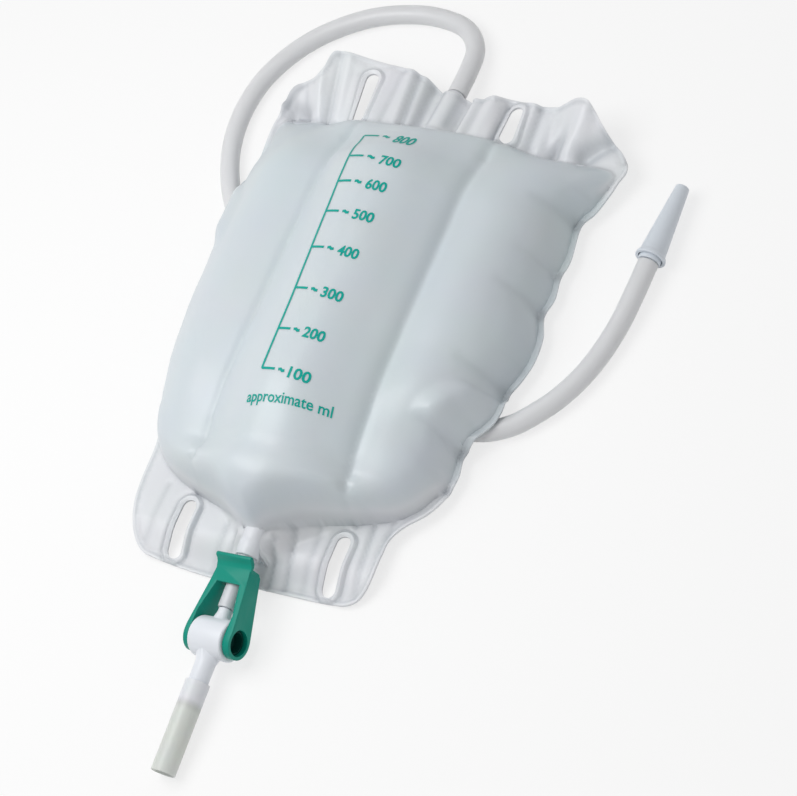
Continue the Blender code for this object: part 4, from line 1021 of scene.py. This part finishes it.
def turned(name, profile, sides, round_again=False):
    """A solid of revolution about Y, from a profile of (along, radius)."""
    angles = round_angles(sides)
    rings = [[(r * math.cos(a), along, r * math.sin(a)) for a in angles] for along, r in profile]
    return ring_mesh(name, rings, round_again)


def hollow(name, outer, bore, sides=TURNED_SIDES):
    """A tube wall: the outer profile out and a plain bore back."""
    loop = [(outer[0][0] + BORE_EDGE, bore), *outer, (outer[-1][0] - BORE_EDGE, bore)]
    return turned(name, loop, sides, True)


def plain_wall(start, stop, radius, first, last):
    """A straight tube's outer profile with rounded ends."""
    corners = [(start, radius - first), (start, radius), (stop, radius), (stop, radius - last)]
    return rounded(corners, 0.3 * MM)


def finish_part(mesh, place, material, body, node, angle=35):
    """Puts a made mesh in its place, with its material, body and the CAD node it stands for."""
    mesh.transform(place)
    mesh.shade_smooth()
    mesh.set_sharp_from_angle(angle=math.radians(angle))
    mesh.materials.clear()
    mesh.materials.append(material)
    item = new_object(mesh.name, mesh)
    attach(item, body)
    if node:
        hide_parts(node)
    return item


def softened_copy(name, node, edge, segments):
    """The moulded form of a node with its flat faces joined and its edges rounded."""
    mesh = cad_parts[node].data.copy()
    mesh.name = name + "_form"
    bm = bmesh.new()
    bm.from_mesh(mesh)
    bmesh.ops.remove_doubles(bm, verts=bm.verts, dist=0.02 * MM)
    bmesh.ops.dissolve_limit(bm, angle_limit=math.radians(2), verts=bm.verts, edges=bm.edges)
    bm.to_mesh(mesh)
    bm.free()
    item = new_object(name + "_form", mesh)
    bevel = item.modifiers.new("edges", "BEVEL")
    bevel.width = edge
    bevel.segments = segments
    bevel.limit_method = "ANGLE"
    bevel.angle_limit = math.radians(38)
    bevel.miter_outer = "MITER_ARC"
    made = bpy.data.meshes.new_from_object(item.evaluated_get(bpy.context.evaluated_depsgraph_get()))
    made.name = name
    bpy.data.objects.remove(item)
    return made


def valve_place():
    pose = Matrix.Rotation(VALVE_PITCH, 4, "X") @ Matrix.Rotation(-VALVE_ROLL, 4, "Y")
    return Matrix.Translation(SEAM_ORIGIN + Vector((0, -VALVE_REACH, VALVE_HEIGHT))) @ pose


def inlet_place():
    edge = Vector((0, inlet_edge_y(), INLET_PORT_EDGE_HEIGHT))
    return Matrix.Translation(SEAM_ORIGIN + edge) @ Matrix.Rotation(INLET_PORT_SLOPE, 4, "X")


def connector_place():
    line = tube_line(TUBE_DIAMETER)
    along = Vector((*(line[-1] - line[-2])[:2], 0)).normalized()
    across = along.cross(Vector((0, 0, 1)))
    place = Vector((line[-1][0], line[-1][1], CONNECTOR_HEIGHT)) + SEAT_GAP * along
    turn = Matrix((across, along, (0, 0, 1))).transposed().to_4x4()
    return Matrix.Translation(SEAM_ORIGIN + place) @ turn


def build_ports(port, film):
    """The inlet and outlet ports, and the film welded round the outlet."""
    wide, length = INLET_PORT_DIAMETER / 2, INLET_PORT_LENGTH
    ends = [
        (-length, wide - 0.4 * MM),
        (-length + 0.6 * MM, wide),
        (PORT_STAND_OUT, wide - 0.2 * MM),
        (PORT_STAND_OUT, wide - 0.6 * MM),
    ]
    mesh = hollow("inlet_port_look", rounded(ends, 0.2 * MM), TUBE_BORE / 2)
    finish_part(mesh, inlet_place(), port, BODY, "inlet_port")
    wide = OUTLET_PORT_DIAMETER / 2
    wall = plain_wall(OUTLET_PORT_START, OUTLET_PORT_END, wide, 0.5 * MM, 0.3 * MM)
    mesh = hollow("outlet_port_look", wall, OUTLET_PORT_BORE / 2)
    finish_part(mesh, valve_place(), port, BODY, "outlet_port")
    seam = VALVE_REACH / math.cos(VALVE_PITCH)
    mouth, collar = seam - OUTLET_COLLAR_OUT, wide + PORT_FILM
    collar_line = [
        (mouth, collar - 0.5 * MM),
        (mouth, collar),
        (mouth + 4.5 * MM, collar),
        (mouth + 6 * MM, collar - 0.25 * MM),
        (seam + 4 * MM, collar),
    ]
    mesh = hollow("outlet_collar_look", rounded(collar_line, 0.3 * MM), wide + 0.1 * MM)
    finish_part(mesh, valve_place(), film, BODY, None)


def build_valve(settings):
    """The two ports, the valve with its lever and core, and the soft sleeve on the spout."""
    white = plastic_material("white_plastic_look", settings.white, 0.32, 0.1)
    green = plastic_material("green_plastic_look", settings.green, 0.38, 0, 900.0, 0.08, gloss=0.25)
    # The core is near black, as painted shade for the deep hole in the lever's hub where it shows
    socket = plastic_material("core_shade_look", settings.core, 0.45, 0, 900.0, 0.08, gloss=0.2)
    rubber = plastic_material("rubber_look", (0.02, 0.02, 0.02), 0.6)
    film = plastic_material("port_film_look", settings.film, 0.35, 0.2)
    port = plastic_material("port_look", settings.port, 0.3, 0.2, clear=0.2)
    build_ports(port, film)
    for node, edge, segments, look, body, slot in (
        ("valve_body", 0.35, 3, white, BODY, "white_plastic"),
        ("lever", 0.4, 3, green, LEVER_BODY, "green_plastic"),
        ("valve_core", 0.2, 2, socket, LEVER_BODY, "green_plastic"),
    ):
        mesh = softened_copy(node + "_look", node, edge * MM, segments)
        finish_part(mesh, Matrix(), look, body, node)
    for name in ("core_seal_left", "core_seal_right"):
        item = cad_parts[name]
        item.data.materials.clear()
        item.data.materials.append(rubber)
    wall = plain_wall(-SLEEVE_START - SLEEVE_LENGTH, -SLEEVE_START, SLEEVE_DIAMETER / 2, 0.5 * MM, 0.5 * MM)
    mesh = hollow("outlet_sleeve_look", wall, SPOUT_DIAMETER / 2 + 0.1 * MM)
    finish_part(mesh, valve_place(), sleeve_material(settings), BODY, "outlet_sleeve")


def build_connector(settings):
    """The tapered connector on the tube's end and the conical cap over it."""
    look = plastic_material("connector_look", settings.cap, 0.36, 0.1, 1200.0, 0.06)
    place = connector_place()
    collar = CONNECTOR_COLLAR_LENGTH
    tip = collar + CONNECTOR_TAPER_LENGTH
    wide, root, point = CONNECTOR_COLLAR_DIAMETER / 2, CONNECTOR_ROOT_DIAMETER / 2, CONNECTOR_TIP_DIAMETER / 2
    taper = [
        (0, wide - 0.6 * MM),
        (0, wide),
        (collar, wide),
        (collar, root),
        (tip, point),
        (tip, point - 0.5 * MM),
    ]
    mesh = hollow("connector_look", rounded(taper, 0.35 * MM), CONNECTOR_BORE / 2, CONNECTOR_SIDES)
    finish_part(mesh, place, look, BODY, "connector")
    start, end = CAP_START, CAP_START + CAP_LENGTH
    rim, base, peak = CAP_RIM_DIAMETER / 2, CAP_ROOT_DIAMETER / 2, CAP_TIP_DIAMETER / 2
    outside = [
        (start, rim - 0.5 * MM),
        (start, rim),
        (start + 0.9 * MM, rim),
        (start + CAP_RIM_WIDTH, base),
        (end, peak),
        (end, 0.1 * MM),
    ]
    within = [
        (start, base - 0.2 * MM),
        (start + CAP_RIM_WIDTH, wide + SEAT_GAP),
        (collar + 1.2 * MM, wide + SEAT_GAP),
        (collar + 1.8 * MM, root + SEAT_GAP),
        (end - CAP_WALL, point),
        (end - CAP_WALL, 0.1 * MM),
    ]
    profile = [*reversed(rounded(outside, 0.5 * MM)), *rounded(within, 0.2 * MM)]
    mesh = turned("connector_cap_look", profile, CONNECTOR_SIDES)
    finish_part(mesh, place, look, CAP_BODY, "connector_cap")


def camera_axes():
    """The camera's directions to its right, up and back."""
    back = Vector(
        (
            math.sin(CAMERA_AZIMUTH) * math.cos(CAMERA_ELEVATION),
            -math.cos(CAMERA_AZIMUTH) * math.cos(CAMERA_ELEVATION),
            math.sin(CAMERA_ELEVATION),
        )
    )
    level = Vector((math.cos(CAMERA_AZIMUTH), math.sin(CAMERA_AZIMUTH), 0))
    upright = back.cross(level)
    right = level * math.cos(CAMERA_ROLL) + upright * math.sin(CAMERA_ROLL)
    up = -level * math.sin(CAMERA_ROLL) + upright * math.cos(CAMERA_ROLL)
    return right, up, back


def build_camera():
    axes = camera_axes()
    data = bpy.data.cameras.new("camera")
    data.sensor_width = SENSOR_WIDTH
    data.lens = CAMERA_FOCUS / PICTURE_WIDTH * SENSOR_WIDTH
    data.shift_x = (PICTURE_WIDTH / 2 - PRINCIPAL_POINT[0]) / PICTURE_WIDTH
    data.shift_y = (PRINCIPAL_POINT[1] - PICTURE_HEIGHT / 2) / PICTURE_WIDTH
    data.clip_start = 0.01
    camera = new_object("camera", data)
    place = CAMERA_TARGET + SEAM_ORIGIN + axes[2] * CAMERA_DISTANCE
    camera.matrix_world = Matrix.Translation(place) @ Matrix(axes).transposed().to_4x4()
    bpy.context.scene.camera = camera


def build_lamp(name, direction, distance, size, power):
    light = bpy.data.lights.new(name, "AREA")
    light.size = size
    light.energy = power
    item = new_object(name, light)
    item.location = CAMERA_TARGET + SEAM_ORIGIN + direction.normalized() * distance
    item.rotation_euler = (-direction).to_track_quat("-Z", "Y").to_euler()


def mixed_shaders(add, link, share, first, second):
    mix = add("ShaderNodeMixShader")
    for socket, value in zip(mix.inputs, (share, first.outputs[0], second.outputs[0])):
        link(value, socket)
    return mix.outputs[0]


def build_floor(settings):
    """A plain pale floor that takes the bag's shadow and is near white where it is seen."""
    material, add, link = node_material("floor_look")
    diffuse = add("ShaderNodeBsdfDiffuse", Color=(0.93, 0.93, 0.93, 1))
    white = add("ShaderNodeEmission", Color=(1, 1, 1, 1), Strength=1.0)
    share = worked(add, link, "MULTIPLY", seen_rays(add, link), settings.floor_white)
    surface = mixed_shaders(add, link, share, diffuse, white)
    link(surface, add("ShaderNodeOutputMaterial").inputs["Surface"])
    mesh = bpy.data.meshes.new("floor")
    corners = [(x * FLOOR_HALF, y * FLOOR_HALF, 0) for x, y in ((-1, -1), (1, -1), (1, 1), (-1, 1))]
    mesh.from_pydata(corners, [], [(0, 1, 2, 3)])
    mesh.materials.append(material)
    new_object("floor", mesh)


def build_world(settings):
    """Level light from all round, with a white backdrop where it is seen."""
    world = bpy.data.worlds.new("studio")
    world.use_nodes = True
    tree = world.node_tree
    tree.nodes.clear()
    add, link = node_adder(tree), tree.links.new
    level = add("ShaderNodeBackground", Color=(1, 1, 1, 1), Strength=settings.sky)
    backdrop = add("ShaderNodeBackground", Color=(1, 1, 1, 1), Strength=1.0)
    surface = mixed_shaders(add, link, seen_rays(add, link), level, backdrop)
    link(surface, add("ShaderNodeOutputWorld").inputs["Surface"])
    bpy.context.scene.world = world


def build_stage(settings):
    right, up, back = camera_axes()
    build_camera()
    build_lamp("key", KEY_DIRECTION, KEY_DISTANCE, KEY_SIZE, settings.key_power)
    build_lamp("fill", right * 0.6 - up * 0.7 + back * 0.7, FILL_DISTANCE, FILL_SIZE, settings.fill_power)
    build_floor(settings)
    build_world(settings)
    bpy.context.scene.view_settings.view_transform = "Standard"


def share_of(name, description, default):
    return FloatProperty(name=name, description=description, default=default)


def length_of(name, description, default):
    return FloatProperty(name=name, description=description, default=default, unit="LENGTH")


def colour_of(name, description, default):
    return FloatVectorProperty(name=name, description=description, default=default, subtype="COLOR")


class FilmSettings(PropertyGroup):
    grid_step: length_of("Grid step", "Spacing of the film's points", 1.25 * MM)
    roughness: share_of("Roughness", "How dull the film is", 0.38)
    pouch_colour: colour_of("Pouch colour", "Film over the contents", (0.64, 0.70, 0.735))
    flange_colour: colour_of("Flange colour", "Film welded flat", (0.78, 0.80, 0.83))
    # Colour of the pressed weld lines and of the shade painted into folds and creases
    line_colour: colour_of("Weld line colour", "Pressed lines and folds", (0.40, 0.43, 0.46))


class PrintSettings(PropertyGroup):
    line_width: length_of("Line width", "Width of the scale's lines", 0.9 * MM)
    boldness: share_of("Boldness", "How far the numbers' strokes are widened", 0.028)
    lift: length_of("Lift", "How far the ink stands off the film", 0.12 * MM)
    colour: colour_of("Colour", "Ink", (0.0, 0.36, 0.30))


class TubeSettings(PropertyGroup):
    roughness: share_of("Roughness", "How dull the tube is", 0.3)
    clearness: share_of("Clearness", "How far light passes through the wall", 0.22)
    colour: colour_of("Colour", "Soft tube", (0.90, 0.91, 0.93))


class ValveSettings(PropertyGroup):
    white: colour_of("White plastic", "Valve body", (0.80, 0.83, 0.88))
    green: colour_of("Green plastic", "Lever", (0.0, 0.27, 0.20))
    # Near black, as painted shade for the hole in the lever's hub
    core: colour_of("Core", "Core inside the lever's hub", (0.0, 0.05, 0.04))
    cap: colour_of("Cap", "Connector and cap", (0.70, 0.75, 0.81))
    sleeve: colour_of("Sleeve", "Soft frosted sleeve on the spout", (0.70, 0.73, 0.69))
    spout_tint: colour_of("Spout tint", "The sleeve where the white spout shows through", (0.80, 0.82, 0.86))
    film: colour_of("Port film", "Film welded round the outlet port", (0.74, 0.76, 0.80))
    port: colour_of("Ports", "Soft ports welded into the bag", (0.78, 0.80, 0.84))


class StageSettings(PropertyGroup):
    key_power: share_of("Key power", "Power of the key lamp in watts", 1.5)
    fill_power: share_of("Fill power", "Power of the fill lamp in watts", 0.35)
    sky: share_of("Sky", "Level of the light from all round", 0.46)
    floor_white: share_of("Floor white", "How far the floor is plain white", 0.72)


class DRAINBAG_OT_film(Operator):
    """Builds the film bag"""

    bl_idname = "drainbag.film"
    bl_label = "Build Film Bag"

    def execute(self, context):
        build_film(context.scene.drainbag_film)
        return {"FINISHED"}


class DRAINBAG_OT_print(Operator):
    """Prints the volume scale on the film"""

    bl_idname = "drainbag.print_scale"
    bl_label = "Print Scale"

    def execute(self, context):
        build_print(context.scene.drainbag_print)
        return {"FINISHED"}


class DRAINBAG_OT_tube(Operator):
    """Lays the inlet tube"""

    bl_idname = "drainbag.tube"
    bl_label = "Lay Tube"

    def execute(self, context):
        build_tube(context.scene.drainbag_tube)
        return {"FINISHED"}


class DRAINBAG_OT_valve(Operator):
    """Builds the ports, the valve, its lever and the sleeve"""

    bl_idname = "drainbag.valve"
    bl_label = "Build Valve"

    def execute(self, context):
        build_valve(context.scene.drainbag_valve)
        return {"FINISHED"}


class DRAINBAG_OT_connector(Operator):
    """Builds the connector and its cap"""

    bl_idname = "drainbag.connector"
    bl_label = "Build Connector"

    def execute(self, context):
        build_connector(context.scene.drainbag_valve)
        return {"FINISHED"}


class DRAINBAG_OT_stage(Operator):
    """Adds the floor, the lamps and the camera"""

    bl_idname = "drainbag.stage"
    bl_label = "Build Stage"

    def execute(self, context):
        build_stage(context.scene.drainbag_stage)
        return {"FINISHED"}


class DRAINBAG_PT_panel(Panel):
    """Shows the settings and the steps in order"""

    bl_label = "Drainage Bag"
    bl_idname = "DRAINBAG_PT_panel"
    bl_space_type = "VIEW_3D"
    bl_region_type = "UI"
    bl_category = "Drainage Bag"

    def draw(self, context):
        scene = context.scene
        for settings, step in (
            (scene.drainbag_film, "drainbag.film"),
            (scene.drainbag_print, "drainbag.print_scale"),
            (scene.drainbag_valve, "drainbag.valve"),
            (None, "drainbag.connector"),
            (scene.drainbag_tube, "drainbag.tube"),
            (scene.drainbag_stage, "drainbag.stage"),
        ):
            box = self.layout.box()
            if settings:
                for name in type(settings).__annotations__:
                    box.prop(settings, name)
            box.operator(step)


SETTINGS = {
    "drainbag_film": FilmSettings,
    "drainbag_print": PrintSettings,
    "drainbag_tube": TubeSettings,
    "drainbag_valve": ValveSettings,
    "drainbag_stage": StageSettings,
}
CLASSES = (
    *SETTINGS.values(),
    DRAINBAG_OT_film,
    DRAINBAG_OT_print,
    DRAINBAG_OT_tube,
    DRAINBAG_OT_valve,
    DRAINBAG_OT_connector,
    DRAINBAG_OT_stage,
    DRAINBAG_PT_panel,
)


def register():
    for item in CLASSES:
        bpy.utils.register_class(item)
    for name, group in SETTINGS.items():
        setattr(bpy.types.Scene, name, PointerProperty(type=group))


def unregister():
    for name in SETTINGS:
        delattr(bpy.types.Scene, name)
    for item in reversed(CLASSES):
        bpy.utils.unregister_class(item)


def main():
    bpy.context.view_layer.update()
    register()
    bpy.ops.drainbag.film()
    bpy.ops.drainbag.print_scale()
    bpy.ops.drainbag.valve()
    bpy.ops.drainbag.connector()
    bpy.ops.drainbag.tube()
    bpy.ops.drainbag.stage()


if __name__ == "__main__":
    main()
